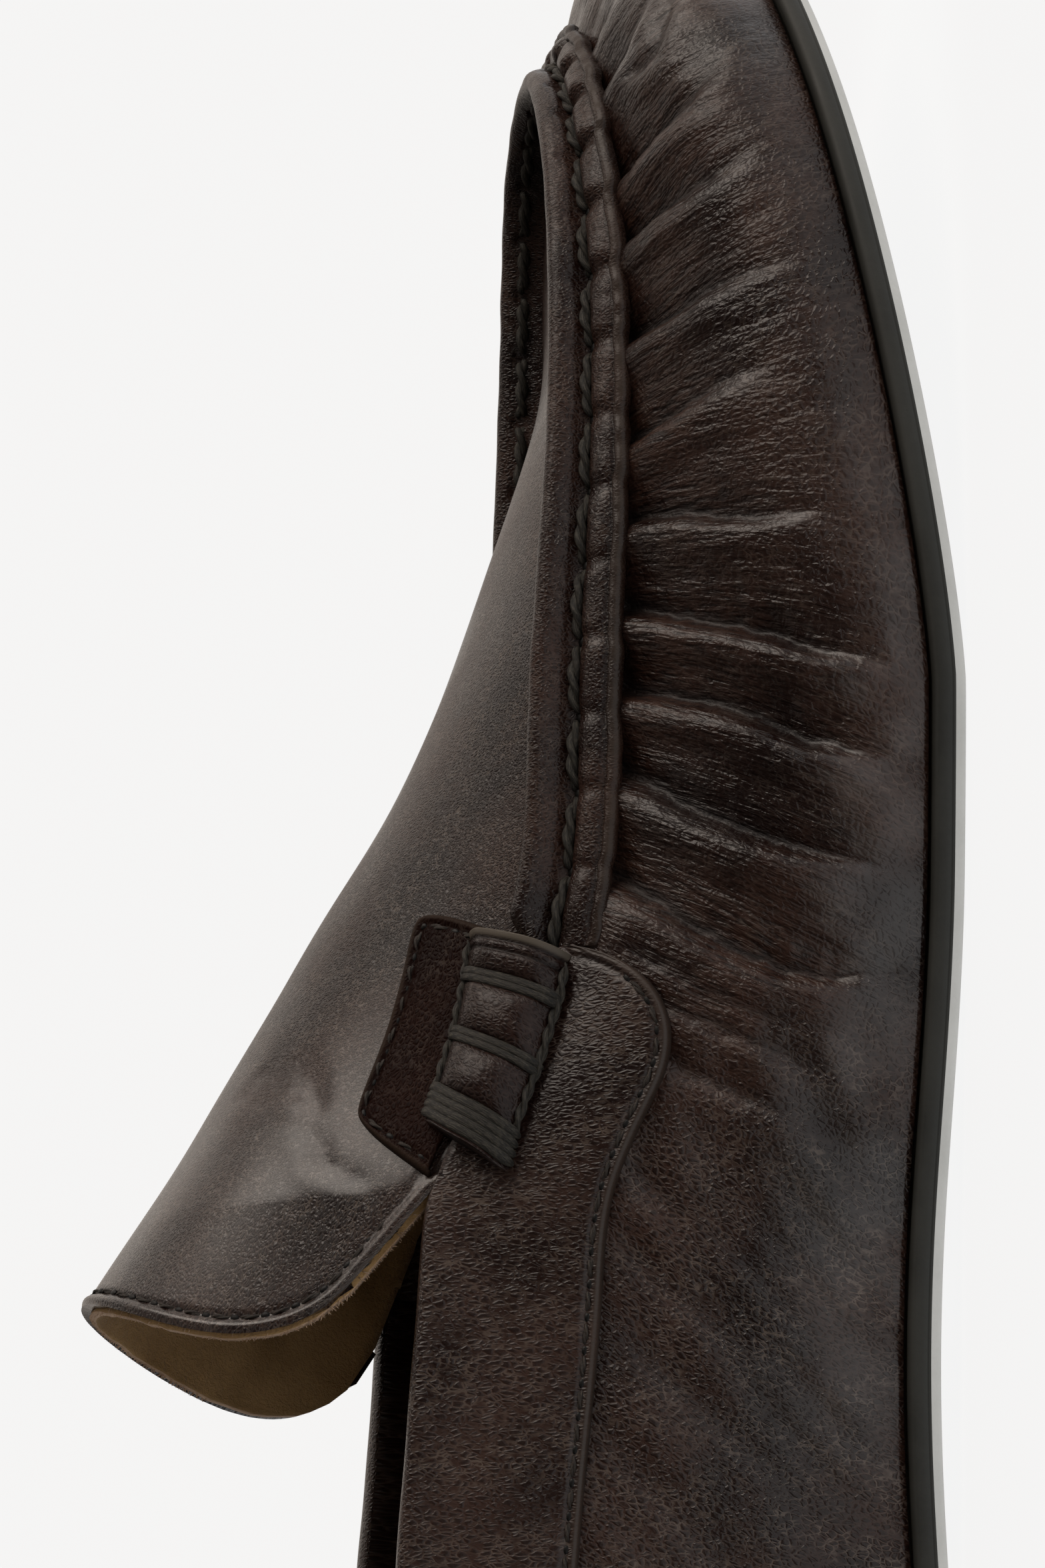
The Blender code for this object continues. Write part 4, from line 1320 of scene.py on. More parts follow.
@dataclass
class Apron:
    """Top of the shoe: the apron between the seams and the stitched tongue that grows from it."""

    apron_rows: int = 190
    tongue_rows: int = 40
    strips: int = 108
    leather: float = 1.05
    lining: float = 0.8
    hem: float = 1.75
    near_rows: int = 12
    fibre_count: int = 420
    stitch_width: float = 0.5
    stitch_sink: float = 0.2
    stitch_ends: int = 6
    bead: float = 0.42
    bead_inset: float = 0.75
    bead_width: float = 0.62
    groove: float = 0.26
    groove_width: float = 0.36
    lump: float = 0.28
    lump_size: float = 16.0
    rounding: float = 0.42
    lining_gap: float = 0.04
    fibre_width: float = 0.14
    fibre_seed: int = 11
    fibre_span: tuple[int, float] = (12, 0.7)
    chart_shift: float = 900.0

    def places(self, rows: int, tongue_rows: int, strips: int) -> tuple[Array, Array]:
        """Grid of the apron and tongue.

        Args:
            rows: Rows from tip to throat.
            tongue_rows: Rows on the free tongue.
            strips: Points across.

        Returns:
            Points and normals.
        """
        p = drawn(np.linspace(-1.0, 1.0, strips), 0.5)
        k = shares(rows)
        apron = LAST.apron(np.repeat(k, strips), np.tile(p, rows)).reshape(rows, strips, 3)
        r = drawn(shares(tongue_rows + 1)[1:], 0.5)
        tongue = LAST.tongue(np.repeat(r, strips), np.tile(p, tongue_rows)).reshape(tongue_rows, strips, 3)
        points = np.concatenate([apron, tongue])
        normals = grid_normals(points)
        normals[0] = normals[1]
        return points, normals

    @staticmethod
    def free_edge(inset: float, count: int = 400) -> tuple[Array, Array]:
        """Line along the tongue's free edge, from its lateral throat to its medial throat.

        Args:
            inset: Distance in from the edge in millimetres.
            count: Number of points.

        Returns:
            Points and normals.
        """
        side = np.linspace(0.02, 1.0, count // 4)
        end = np.sin(np.linspace(math.pi / 2, -math.pi / 2, count // 2))
        r = np.concatenate([side, np.ones(len(end)), side[::-1]])
        q = np.concatenate([np.ones(len(side)), end, -np.ones(len(side))])
        edge = LAST.tongue(r, q)
        reach = LAST.tongue_reach(r, q)
        normals = LAST.apron_normal(1.0 + reach, q * (1.0 - LAST.tongue_taper * reach))
        run = path_length(edge)
        even = np.linspace(0.0, run[-1], count)
        edge = points_at(even, run, edge)
        normals = unit(points_at(even, run, normals))
        along = unit(np.gradient(edge, axis=0))
        inwards = unit(np.cross(normals, along))
        return edge - inwards * inset, normals

    def build(
        self, leather: Material, suede: Material, fringe: Material
    ) -> list[Piece]:
        """Make the leather, its lining and the raw fibres on the lining's edge.

        Args:
            leather: Material of the outside.
            suede: Material of the lining.
            fringe: Material of the lining's cut edge and its fibres.

        Returns:
            The pieces.
        """
        points, normals = self.places(self.apron_rows, self.tongue_rows, self.strips)
        edge, _ = self.free_edge(0.0)
        near = np.full(points.shape[:2], 99.0)
        close = points[self.apron_rows - self.near_rows:]
        gaps = np.linalg.norm(close.reshape(-1, 1, 3) - edge[None], axis=2)
        near[self.apron_rows - self.near_rows:] = gaps.min(axis=1).reshape(close.shape[:2])
        height = self.bead * bell(near - self.bead_inset, self.bead_width)
        height = height - self.groove * bell(near - self.hem, self.groove_width)
        height = height + self.lump * rough_field(points, self.lump_size, 2.3)
        across = path_length(points, axis=1)
        across = across - across[:, self.strips // 2][:, None]
        back = spread(path_length(points[:, self.strips // 2]), across)
        chart = np.stack([back, across + self.chart_shift], axis=-1)
        dents, fold, strain = relief(WRINKLES, back, np.abs(across))
        height = height + dents
        # Crease mask: painted shade in the tongue's wrinkles and in the groove at its hem.
        masks = {"crease": np.maximum(0.45 * fold, 0.45 * bell(near - self.hem, 0.3)), "gather": 0.5 * strain}
        masks["sheen"] = 0.8 * smooth(100.0, 135.0, back) * smooth(-14.0, 10.0, across)
        bm = bmesh.new()
        lay_grid(bm, points + normals * height[..., None], chart, masks)
        top = add_piece("apron_and_tongue", bm, [leather], ["upper"])
        give_wall(top, self.leather)
        round_edges(top, self.rounding)
        return [top, self.build_lining(suede, fringe), self.build_fibres(fringe)]

    def build_lining(self, suede: Material, fringe: Material) -> Piece:
        """Make the suede under the apron and tongue, with its cut edge.

        Args:
            suede: Material of the lining.
            fringe: Material of its cut edge.

        Returns:
            The piece.
        """
        points, normals = self.places(self.apron_rows // 2, self.tongue_rows, self.strips // 2)
        outwards = unit(np.gradient(points, axis=0)[-1])
        points = points - normals * (self.leather + self.lining_gap)
        ragged = rough_field(points[-1], 1.1, 5.0) * 0.22 + 0.18
        points[-1] += outwards * ragged[:, None]
        bm = bmesh.new()
        lay_grid(bm, points)
        piece = add_piece("tongue_lining", bm, [suede, fringe], ["upper"])
        give_wall(piece, self.lining, rim=1)
        return piece

    def build_fibres(self, fringe: Material) -> Piece:
        """Make the loose fibres that stand out of the lining's cut edge.

        Args:
            fringe: Material of the fibres.

        Returns:
            The piece.
        """
        edge, normals = self.free_edge(0.0, self.fibre_count)
        along = unit(np.gradient(edge, axis=0))
        out = unit(np.cross(along, normals))
        draws = np.random.default_rng(self.fibre_seed).uniform(-1.0, 1.0, (self.fibre_count, 5))
        bm = bmesh.new()
        first, share = self.fibre_span
        for i in range(first, int(share * self.fibre_count)):
            a, b, c, d, e = draws[i]
            root = edge[i] - normals[i] * (self.leather + 0.35 + 0.3 * a) + along[i] * 0.2 * b
            tip = root + out[i] * (0.5 + 0.45 * c) + along[i] * 0.5 * d - normals[i] * 0.2 * e
            path = np.linspace(root - out[i] * 0.4, tip, 4)
            thread = Thread(width=self.fibre_width, plies=1, sides=4)
            thread.lay(bm, path, np.repeat(normals[i][None], 4, axis=0))
        return add_piece("tongue_edge_fibres", bm, [fringe], [])

    def sew(self, sewing: Sequence[Material]) -> None:
        """Make the stitches along the tongue's folded edge.

        Args:
            sewing: Materials of the stitches and their holes.
        """
        kept = slice(self.stitch_ends, -self.stitch_ends)
        line, normals = (values[kept] for values in self.free_edge(self.hem))
        bm = bmesh.new()
        StitchRow(width=self.stitch_width).sew(bm, line - normals * self.stitch_sink, normals)
        add_piece("tongue_stitches", bm, sewing, [])


@dataclass
class Thread:
    """Thread laid along a path: one ply, or more twisted together."""

    width: float = 1.3
    plies: int = 2
    twist: float = 4.4
    sides: int = 7
    flat: float = 1.0
    ply_share: float = 0.29
    taper: float = 3.0

    def lay(self, bm: BMesh, path: Array, normals: Array, phase: float = 0.0) -> None:
        """Add the thread to a mesh.

        Args:
            bm: The mesh.
            path: Points along the thread.
            normals: Normals of what it lies on.
            phase: Turn at its start.
        """
        along = unit(np.gradient(path, axis=0))
        beside = unit(np.cross(normals, along))
        above = self.flat * np.cross(along, beside)
        run = path_length(path)
        taper = np.sqrt(np.clip(np.sin(math.pi * run / run[-1]) * self.taper, 0.0, 1.0))
        angle = np.linspace(0.0, 2.0 * math.pi, self.sides + 1)
        radius = self.width / 2.0 if self.plies == 1 else self.width * self.ply_share
        for ply in range(self.plies):
            turn = phase + 2.0 * math.pi * (run / self.twist + ply / self.plies)
            offset = 0.0 if self.plies == 1 else self.width / 2.0 - radius
            centre = path + offset * (above * np.cos(turn)[:, None] + beside * np.sin(turn)[:, None])
            ring = above[:, None] * np.cos(angle)[:, None] + beside[:, None] * np.sin(angle)[:, None]
            points = centre[:, None] + ring * (radius * taper)[:, None, None]
            girth = np.broadcast_to(angle * radius, points.shape[:2])
            chart = np.stack([spread(run + 7.0 * ply, points), girth], axis=-1)
            lay_grid(bm, points, chart)


@dataclass
class StitchRow:
    """Row of machine stitches along a line on the leather, with a dark body of painted shade in the hole
    between each two.
    """

    pitch: float = 3.3
    length: float = 2.5
    width: float = 0.62
    hole: tuple[float, float, float] = (0.5, 0.34, 0.16)

    def sew(self, bm: BMesh, line: Array, normals: Array) -> None:
        """Add the stitches to a mesh, and the holes as its second material.

        Args:
            bm: The mesh.
            line: Points along the row.
            normals: Normals of the leather there.
        """
        run = path_length(line)
        count = max(int(run[-1] / self.pitch), 1)
        thread = Thread(width=self.width, plies=2, twist=3.4, sides=6, flat=0.8)
        share = np.linspace(-0.5, 0.5, 9)
        bow = self.width * (0.8 * np.cos(math.pi * share) - 0.5)
        for i in range(count):
            at = (i + 0.5) * run[-1] / count + self.length * share
            normal = unit(points_at(at, run, normals))
            path = points_at(at, run, line) + normal * bow[:, None]
            thread.lay(bm, path, normal, phase=0.8 * i)
        starts = np.linspace(0.0, run[-1], count + 1)
        middles, ahead = points_at(starts, run, line), points_at(starts + 0.2, run, line)
        add_holes(bm, middles, unit(points_at(starts, run, normals)), ahead, self.hole)


def add_holes(
    bm: BMesh, points: Array, normals: Array, ahead: Array, size: Sequence[float]
) -> None:
    """Add dark bodies of painted shade in needle holes to a mesh, as its second material.

    Args:
        bm: The mesh.
        points: Middle of each hole.
        normals: Normal of the leather at each hole.
        ahead: A point further along the row from each hole.
        size: Half sizes along the row, across it and out of the leather.
    """
    directions = ahead - points
    directions[-1] = directions[-2] if len(points) > 1 else directions[-1]
    for point, normal, way in zip(points, normals, directions):
        way = unit(way - normal * (way @ normal))
        axes = np.stack([way, np.cross(normal, way), normal], axis=1)
        place = Matrix.Translation(LAST.to_frame(point)) @ Matrix(axes.tolist()).to_4x4()
        place = place @ Matrix.Diagonal((size[0] * MM, size[1] * MM, size[2] * MM, 1.0))
        made = bmesh.ops.create_uvsphere(bm, u_segments=10, v_segments=6, radius=1.0, matrix=place)
        for face in {face for vert in made["verts"] for face in vert.link_faces}:
            face.material_index = 1
            face.smooth = True


@dataclass
class MoccasinSeam:
    """Standing seam round the apron: pinched fold, stitch groove, skirt and the skirt's raw lip."""

    end_y: float = 136.8
    columns: int = 640
    rows: int = 60
    skirt: float = 5.4
    toe_height: float = 4.0
    saddle_height: float = 5.8
    back: float = 2.4
    lean: float = 0.2
    first_hole: float = 4.2
    pitch: float = 8.2
    thread: float = 1.45
    groove_point: float = 11.0
    lip_point: float = 6.0
    raw_point: float = 3.2
    pinch_width: float = 0.95
    tightness: tuple[Sequence[float], Sequence[float]] = ((0.0, 40.0, 75.0, 125.0), (0.8, 0.75, 0.4, 0.3))
    flaring: tuple[Sequence[float], Sequence[float]] = ((0.0, 45.0, 80.0), (0.9, 0.8, 0.15))
    stitch_gap: float = 0.35
    stitch_drop: float = 0.75
    hole: tuple[float, float, float] = (0.75, 0.62, 0.4)
    hole_drop: float = 0.85
    hole_lift: float = 0.45
    chart_shift: float = 400.0

    def span(self) -> tuple[float, float]:
        """Places round the shoe where the seam starts and ends."""
        return tuple(float(LAST.rim_t(LAST.k_at(self.end_y, side), side)) for side in Side)

    def holes(self) -> Array:
        """Distances back from the toe's tip of the awl holes on each side."""
        end = float(LAST.run_of(np.array(self.span()[0])))
        return np.arange(self.first_hole, end + 0.5 * self.pitch, self.pitch)

    def rails(self, t: Array) -> dict[str, Array]:
        """Directions and points that the section hangs on.

        Args:
            t: Places round the shoe.

        Returns:
            Arrays by name: rim, out, stand, height, run, inner base and inner normal.
        """
        rim = LAST.wall(t, np.array([1.0]))[:, 0]
        out = LAST.outward(t, 2)
        behind = rim - out * self.back
        k, p = LAST.apron_under(behind[:, 0], behind[:, 1])
        inner_normal = LAST.apron_normal(k, p)
        middle = unit(LAST.wall_at(t, 0.4)[1] + inner_normal)
        stand = unit((1.0 - self.lean) * UP + self.lean * middle)
        run = LAST.run_of(t)
        height = self.toe_height + (self.saddle_height - self.toe_height) * run / LAST.seam_run
        return {
            "rim": rim, "out": out, "stand": stand, "height": height, "run": run, "middle": middle,
            "base": LAST.apron(k, p), "inner_normal": inner_normal,
        }

    def section(self, t: Array) -> Array:
        """Closed section of the seam at each place, before it is made smooth.

        Args:
            t: Places round the shoe.

        Returns:
            Array of places by points by 3.
        """
        rails = self.rails(t)
        rim, out, stand, run = rails["rim"], rails["out"], rails["stand"], rails["run"]
        ends = [float(LAST.run_of(np.array(place))) for place in self.span()]
        ease = smooth(0.2, 4.0, np.where(t <= LAST.tip, *ends) - run)
        top = rails["height"] * (0.6 + 0.4 * ease)
        pinch = sum(bell(run - hole, self.pinch_width) for hole in self.holes())
        tight = np.interp(run, *self.tightness) * pinch
        flare = np.mod((run - self.first_hole) / self.pitch, 1.0) - 0.5
        flare = flare * (1.0 - pinch) * np.interp(run, *self.flaring)
        places = level_points(run, np.sign(t - LAST.tip) * 9.0)
        sway, frayed = rough_field(places, 5.0, 1.4), rough_field(places, 1.3, 8.4)
        skirt = self.skirt + 0.3 * sway + 0.16 * frayed - 0.5 * tight + 0.7 * flare

        def on_wall(drop: Array, lift: Array) -> Array:
            """Points off the wall, at a drop below the rim."""
            point, normal = LAST.wall_at(t, drop)
            lift = floats(lift) * np.where(np.asarray(lift) > 0.0, 0.55 + 0.45 * ease, 1.0)
            return point + normal * lift[:, None]

        def on_fold(outwards: Array, up: Array) -> Array:
            """Points of the standing fold, out from the rim and up from it."""
            outwards = np.broadcast_to(floats(outwards), t.shape)
            return rim + out * outwards[:, None] + stand * np.broadcast_to(up, t.shape)[:, None]

        points = [
            on_wall(skirt - 0.9, -0.5),
            on_wall(skirt + 0.1, -0.35),
            on_wall(skirt + 0.36, 0.4 + 0.1 * frayed),
            on_wall(skirt + 0.16, 0.95 + 0.15 * frayed),
            on_wall(skirt - 0.3, 1.25 + 0.15 * frayed),
            on_wall(skirt - 0.75, 1.12),
            on_wall(skirt - 0.95, 0.95 - 0.3 * tight),
            on_wall(skirt - 1.4, 1.35 - 0.6 * tight),
            on_wall(skirt - 2.5, 1.85 + 0.2 * sway - 1.1 * tight + 0.8 * flare),
            on_wall(skirt - 3.5, 1.75 + 0.15 * sway - 1.2 * tight + 0.5 * flare),
            on_wall(1.15, 1.2 - 0.8 * tight),
            on_wall(0.55, 0.72 - 0.9 * tight),
            on_fold(0.72 - 0.35 * tight, 1.25),
            on_fold(1.05 - 0.45 * tight, 2.1),
            on_fold(1.05 - 0.25 * tight, 0.55 * top + 0.2),
            on_fold(0.85 + 0.15 * sway, top - 1.0),
            on_fold(0.35 + 0.1 * sway, top - 0.25 + 0.1 * sway),
            on_fold(-0.45, top + 0.12 * sway),
            on_fold(-1.15, top - 0.3),
            on_fold(-1.6, top - 1.1),
            on_fold(-1.75 + 0.3 * pinch, 0.5 * top + 0.4),
            rails["base"] + rails["inner_normal"] * 0.75 + out * 0.35,
            rails["base"] - rails["inner_normal"] * 0.3,
            rim - rails["middle"] * 0.4,
        ]
        return np.stack(points, axis=1)

    def build(
        self, leather: Material, thread: Material, hole: Material
    ) -> None:
        """Make the seam and its hand stitches.

        Args:
            leather: Material of the fold and skirt.
            thread: Material of the stitches.
            hole: Material of the awl holes.
        """
        t = np.linspace(*self.span(), self.columns)
        control = self.section(t)
        knots = shares(control.shape[1] + 1)
        share = shares(self.rows + 1)
        points = np.stack([Spline(knots, row, closed=True)(share) for row in control])
        points = close_ends(points, points[:, :-1].mean(axis=1, keepdims=True))
        girth = path_length(points, axis=1)
        run = np.concatenate([t[:1], t, t[-1:]]) * LAST.girth
        chart = np.stack([spread(run, girth), girth + self.chart_shift], axis=-1)
        place = share * control.shape[1]
        # Crease mask: painted shade in the stitch groove and in the fold under the skirt's lip.
        groove, lip = 0.75 * bell(place - self.groove_point, 0.7), 0.55 * bell(place - self.lip_point, 0.45)
        crease = np.broadcast_to(np.maximum(groove, lip), girth.shape)
        worn = 0.6 + 0.5 * rough_field(level_points(run, 0.0 * run), 1.7, 4.2)
        raw = worn[:, None] * bell(place - self.raw_point, 1.2)
        bm = bmesh.new()
        lay_grid(bm, points, chart, {"crease": crease, "raw": raw})
        add_piece("moccasin_seam", bm, [leather], ["seam_ridge"])
        self.stitch(thread, hole)

    def stitch(self, thread: Material, hole: Material) -> None:
        """Make the hand stitches outside and inside the fold, and the holes between them.

        Args:
            thread: Material of the stitches.
            hole: Material of the holes.
        """
        bm = bmesh.new()
        cord = Thread(width=self.thread, plies=2, twist=5.2, sides=8)
        s = shares(20)
        arch = np.sin(math.pi * s) ** 0.55
        for side in Side:
            holes = self.holes()
            starts = np.concatenate([[-holes[0]], holes]) if side is Side.LATERAL else holes
            for number, (a, b) in enumerate(zip(starts, starts[1:])):
                run = a + self.stitch_gap + (b - a - 2 * self.stitch_gap) * s
                t = np.where(run >= 0.0, LAST.t_at(run, side), LAST.t_at(-run, Side.MEDIAL))
                rails = self.rails(t)
                point, normal = LAST.wall_at(t, self.stitch_drop)
                path = point + normal * (-0.1 + 1.3 * arch)[:, None] + rails["stand"] * 0.3
                cord.lay(bm, path, normal, phase=0.9 * number)
                inner = rails["rim"] - rails["out"] * (1.25 + 0.62 * arch)[:, None]
                inner = inner + rails["stand"] * (0.42 * rails["height"] + 0.3)[:, None]
                cord.lay(bm, inner, -rails["out"], phase=0.7 * number)
        for side in Side:
            t = LAST.t_at(self.holes(), side)
            point, normal = LAST.wall_at(t, self.hole_drop)
            ahead = LAST.wall_at(LAST.t_at(self.holes() + 0.3, side), self.hole_drop)[0]
            add_holes(bm, point + normal * self.hole_lift, normal, ahead, self.hole)
        add_piece("seam_stitches", bm, [thread, hole], [])


@dataclass(frozen=True)
class StitchedEdge:
    """Overlay near its edge: round rim, low bead and the groove that its stitches lie in."""

    thickness: float
    rounding: float
    seam: float
    gap: float
    bead: float
    bead_inset: float
    bead_width: float
    groove: float
    groove_width: float = 0.34

    def lift(self, near: Array) -> Array:
        """Height of the overlay over what it lies on.

        Args:
            near: Distances from its edge.

        Returns:
            One height for each distance.
        """
        turn = np.clip(near / self.rounding, 0.0, 1.0)
        height = self.thickness * np.sqrt(1.0 - (1.0 - turn) ** 2) + self.gap
        height = height + self.bead * bell(near - self.bead_inset, self.bead_width)
        return height - self.groove * bell(near - self.seam, self.groove_width)


@dataclass
class SaddleTab:
    """Stitched tab that lies on the apron beside the throat."""

    side: Side
    front: tuple[float, float, float, float] = (17.0, 142.8, 1.2, 137.2)
    back: tuple[float, float, float, float] = (12.8, 119.3, 1.2, 113.4)
    along_count: int = 66
    across_count: int = 46
    length: float = 24.0
    rim_share: float = 0.12
    corner_blend: float = 0.3
    end_round: float = 0.08
    inner_round: float = 0.12
    squareness: int = 8
    backing: float = 0.5
    chart_shift: tuple[float, float] = (60.0, 300.0)
    edge: StitchedEdge = StitchedEdge(1.1, 0.6, 1.35, 0.1, 0.12, 0.75, 0.45, 0.26)
    node: str = field(init=False)

    def __post_init__(self) -> None:
        """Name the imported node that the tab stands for."""
        self.node = "tab_" + self.side.name.lower()

    def surface(self, along: Array, across: Array) -> tuple[Array, Array]:
        """Points on the apron under the tab.

        Args:
            along: Shares from the front edge to the back edge.
            across: Shares from the rim to the inner edge.

        Returns:
            Points and normals, one for each pair.
        """
        ks, ps = [], []
        for a, c in zip(along, across):
            a = 0.5 + (a - 0.5) * (1.0 - self.end_round * c**self.squareness)
            row = np.array(self.front) * (1.0 - a) + np.array(self.back) * a
            inner = row[0] * (1.0 - self.inner_round * abs(2.0 * a - 1.0) ** self.squareness)
            k = float(LAST.k_at(row[3] + (row[1] - row[3]) * c, self.side))
            ks.append(k)
            ps.append(LAST.apron_inset(k, self.side, row[2] + (inner - row[2]) * c))
        k, p = np.array(ks), np.array(ps)
        return LAST.apron(k, p), LAST.apron_normal(k, p)

    def build(self, leather: Material, sewing: Sequence[Material]) -> None:
        """Make the tab and its stitches.

        Args:
            leather: Material of the tab.
            sewing: Materials of the stitches and their holes.
        """
        along = 0.5 + 0.5 * drawn(np.linspace(-1.0, 1.0, self.along_count), 0.4)
        across = drawn(shares(self.across_count), 0.4)
        pairs = np.meshgrid(along, across, indexing="ij")
        base, normals = self.surface(pairs[0].ravel(), pairs[1].ravel())
        shape = (self.along_count, self.across_count)
        base, normals = base.reshape(*shape, 3), normals.reshape(*shape, 3)
        step_along, step_across = path_length(base, axis=0), path_length(base, axis=1)
        gaps = (step_along, step_along[-1:] - step_along, step_across[:, -1:] - step_across)
        near = -np.log(sum(np.exp(-gap / self.corner_blend) for gap in gaps)) * self.corner_blend
        near = np.maximum(near, 0.0)
        height = self.edge.lift(near) + 0.1 * rough_field(base, 5.0, 4.4)
        shift = self.chart_shift
        chart = np.stack([step_across + shift[0] * self.side.value, step_along + shift[1]], axis=-1)
        bm = bmesh.new()
        # Crease mask: painted shade in the stitch groove.
        crease = 0.3 * bell(near - self.edge.seam, 0.3)
        masks = {"crease": crease, "raw": 0.6 * (1.0 - smooth(0.6, 1.0, near))}
        points = base + normals * height[..., None]
        lay_grid(bm, points, chart, masks, flip=self.side is Side.LATERAL)
        piece = add_piece("saddle_" + self.node, bm, [leather], [self.node])
        give_wall(piece, self.backing)
        bm = bmesh.new()
        self.sew(bm)
        add_piece("stitches_" + self.node, bm, sewing, [])

    def sew(self, bm: BMesh) -> None:
        """Add the stitches inside the front, inner and back edges.

        Args:
            bm: Mesh of the stitches.
        """
        fine = shares(40)
        inset_a, inset_c = self.edge.seam / self.length, self.edge.seam / self.front[0]
        reach = 1.0 - inset_c - self.rim_share
        legs = (
            (np.full_like(fine, inset_a), self.rim_share + reach * fine),
            (inset_a + (1.0 - 2 * inset_a) * fine, np.full_like(fine, 1.0 - inset_c)),
            (np.full_like(fine, 1.0 - inset_a), 1.0 - inset_c - reach * fine),
        )
        for a, c in legs:
            points, normals = self.surface(a, c)
            StitchRow().sew(bm, points + normals * self.edge.lift(self.edge.seam), normals)


class Binding(NamedTuple):
    """Threads side by side across the roll: their place along it, how many there are and how wide each is."""

    along: float
    strands: int
    width: float


@dataclass
class BoundRoll:
    """Rolled strip over the rim, bound by thread between its puffed pads."""

    side: Side
    front: tuple[float, float, float, float] = (8.2, 138.8, 3.2, 135.8)
    back: tuple[float, float, float, float] = (3.0, 118.4, 6.4, 113.9)
    bindings: tuple[Binding, ...] = (
        Binding(0.235, 2, 0.85), Binding(0.545, 2, 0.85), Binding(0.895, 4, 1.08),
    )
    layers: tuple[float, ...] = (1.05, 2.3)
    length: float = 24.0
    columns: int = 150
    rows: int = 48
    clearance: float = 1.6
    flank: float = 1.1
    crown: float = 1.9
    pinch: float = 0.5
    swell: float = 2.3
    ridge: float = 0.4
    sunk: float = 1.3
    bound_part: tuple[float, float] = (0.45 / 8, 5.6 / 8)
    edge_part: tuple[float, float] = (0.05, 0.86)
    chart_shift: float = 500.0
    knots: Array = field(default_factory=lambda: shares(9))
    node: str = field(init=False)

    def __post_init__(self) -> None:
        """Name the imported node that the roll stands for."""
        self.node = "beef_roll_" + self.side.name.lower()

    def section(self, along: float, puff: float) -> tuple[Array, Array]:
        """Closed section of the roll.

        Args:
            along: Share from its front to its back.
            puff: How full it is there, from 0 to 1.

        Returns:
            Eight points and the direction that stands off the rim.
        """
        row = np.array(self.front) * (1.0 - along) + np.array(self.back) * along
        k = LAST.k_at(row[1], self.side)
        p = LAST.apron_inset(float(k), self.side, float(row[0]))
        on_apron, apron_n = LAST.apron(k, p)[0], LAST.apron_normal(k, p)[0]
        t = LAST.rim_t(LAST.k_at(row[3], self.side), self.side)
        on_wall, wall_n = (found[0] for found in LAST.wall_at(np.atleast_1d(t), row[2]))
        rim_y = row[3] + (row[1] - row[3]) * row[2] / (row[2] + row[0])
        rim_place = np.atleast_1d(LAST.rim_t(LAST.k_at(rim_y, self.side), self.side))
        rim = LAST.wall(rim_place, np.array([1.0]))[0, 0]
        middle = unit(wall_n + apron_n)
        flank = self.clearance + self.flank * (0.6 + 0.4 * puff)
        crown = flank + self.crown * puff
        points = [
            on_wall + wall_n * (self.clearance - self.sunk),
            on_wall + wall_n * flank,
            on_wall * 0.78 + on_apron * 0.22 + middle * crown,
            (on_wall + on_apron) / 2 + middle * (crown + self.ridge * puff),
            on_wall * 0.22 + on_apron * 0.78 + middle * crown,
            on_apron + apron_n * flank,
            on_apron + apron_n * (self.clearance - self.sunk),
            rim + middle * 0.6,
        ]
        return np.array(points), middle

    def puff(self, along: Array) -> Array:
        """Fullness of the roll: full in each pad and pinched under each binding.

        Args:
            along: Shares of its length.

        Returns:
            One value for each share, 1 where it is full.
        """
        along = floats(along)
        full = np.ones_like(along)
        for binding in self.bindings:
            half = 0.45 * binding.strands * binding.width
            gap = np.maximum(np.abs(along - binding.along) * self.length - half, 0.0)
            share = np.clip(gap / self.swell, 0.0, 1.0)
            depth = self.pinch * min(binding.width, 1.0)
            full = np.minimum(full, 1.0 - depth * (1.0 - np.sqrt(1.0 - (1.0 - share) ** 2)))
        return full

    def build(self, leather: Material, thread: Material) -> None:
        """Make the roll and its bindings.

        Args:
            leather: Material of the roll.
            thread: Material of the bindings.
        """
        along = shares(self.columns)
        fullness = self.puff(along)
        share = shares(self.rows + 1)
        rings = (self.section(place, full)[0] for place, full in zip(along, fullness))
        points = np.stack([Spline(self.knots, ring, closed=True)(share) for ring in rings])
        lumps = rough_field(points, 3.2, 6.1) * 0.12
        lumps = lumps - 0.3 * sum(bell(along * self.length - layer, 0.3) for layer in self.layers)[:, None]
        middle = points[:, :-1].mean(axis=1, keepdims=True)
        points = close_ends(points + unit(points - middle) * lumps[..., None], middle)
        girth = path_length(points, axis=1)
        length = np.concatenate([[0.0], along, [1.0]]) * self.length
        chart = np.stack([spread(length + self.chart_shift * self.side.value, girth), girth], axis=-1)
        # Crease mask: painted shade in the pinches under the bindings, and dark joints between the strip's
        # layers.
        fold = np.concatenate([[0.0], 0.9 * (1.0 - fullness) ** 2 / self.pinch**2, [1.0]])
        fold = np.maximum(fold, 0.85 * sum(bell(length - layer, 0.22) for layer in self.layers))
        # Raw front edge of the roll; its pale grey is partly the bare cut edge and partly a painted
        # highlight.
        raw = 1.0 - smooth(0.6, 1.0, length)
        masks = {"crease": spread(fold, girth), "raw": spread(raw, girth)}
        bm = bmesh.new()
        lay_grid(bm, points, chart, masks, flip=self.side is Side.LATERAL)
        add_piece("bound_" + self.node, bm, [leather], [self.node])
        self.bind(thread)

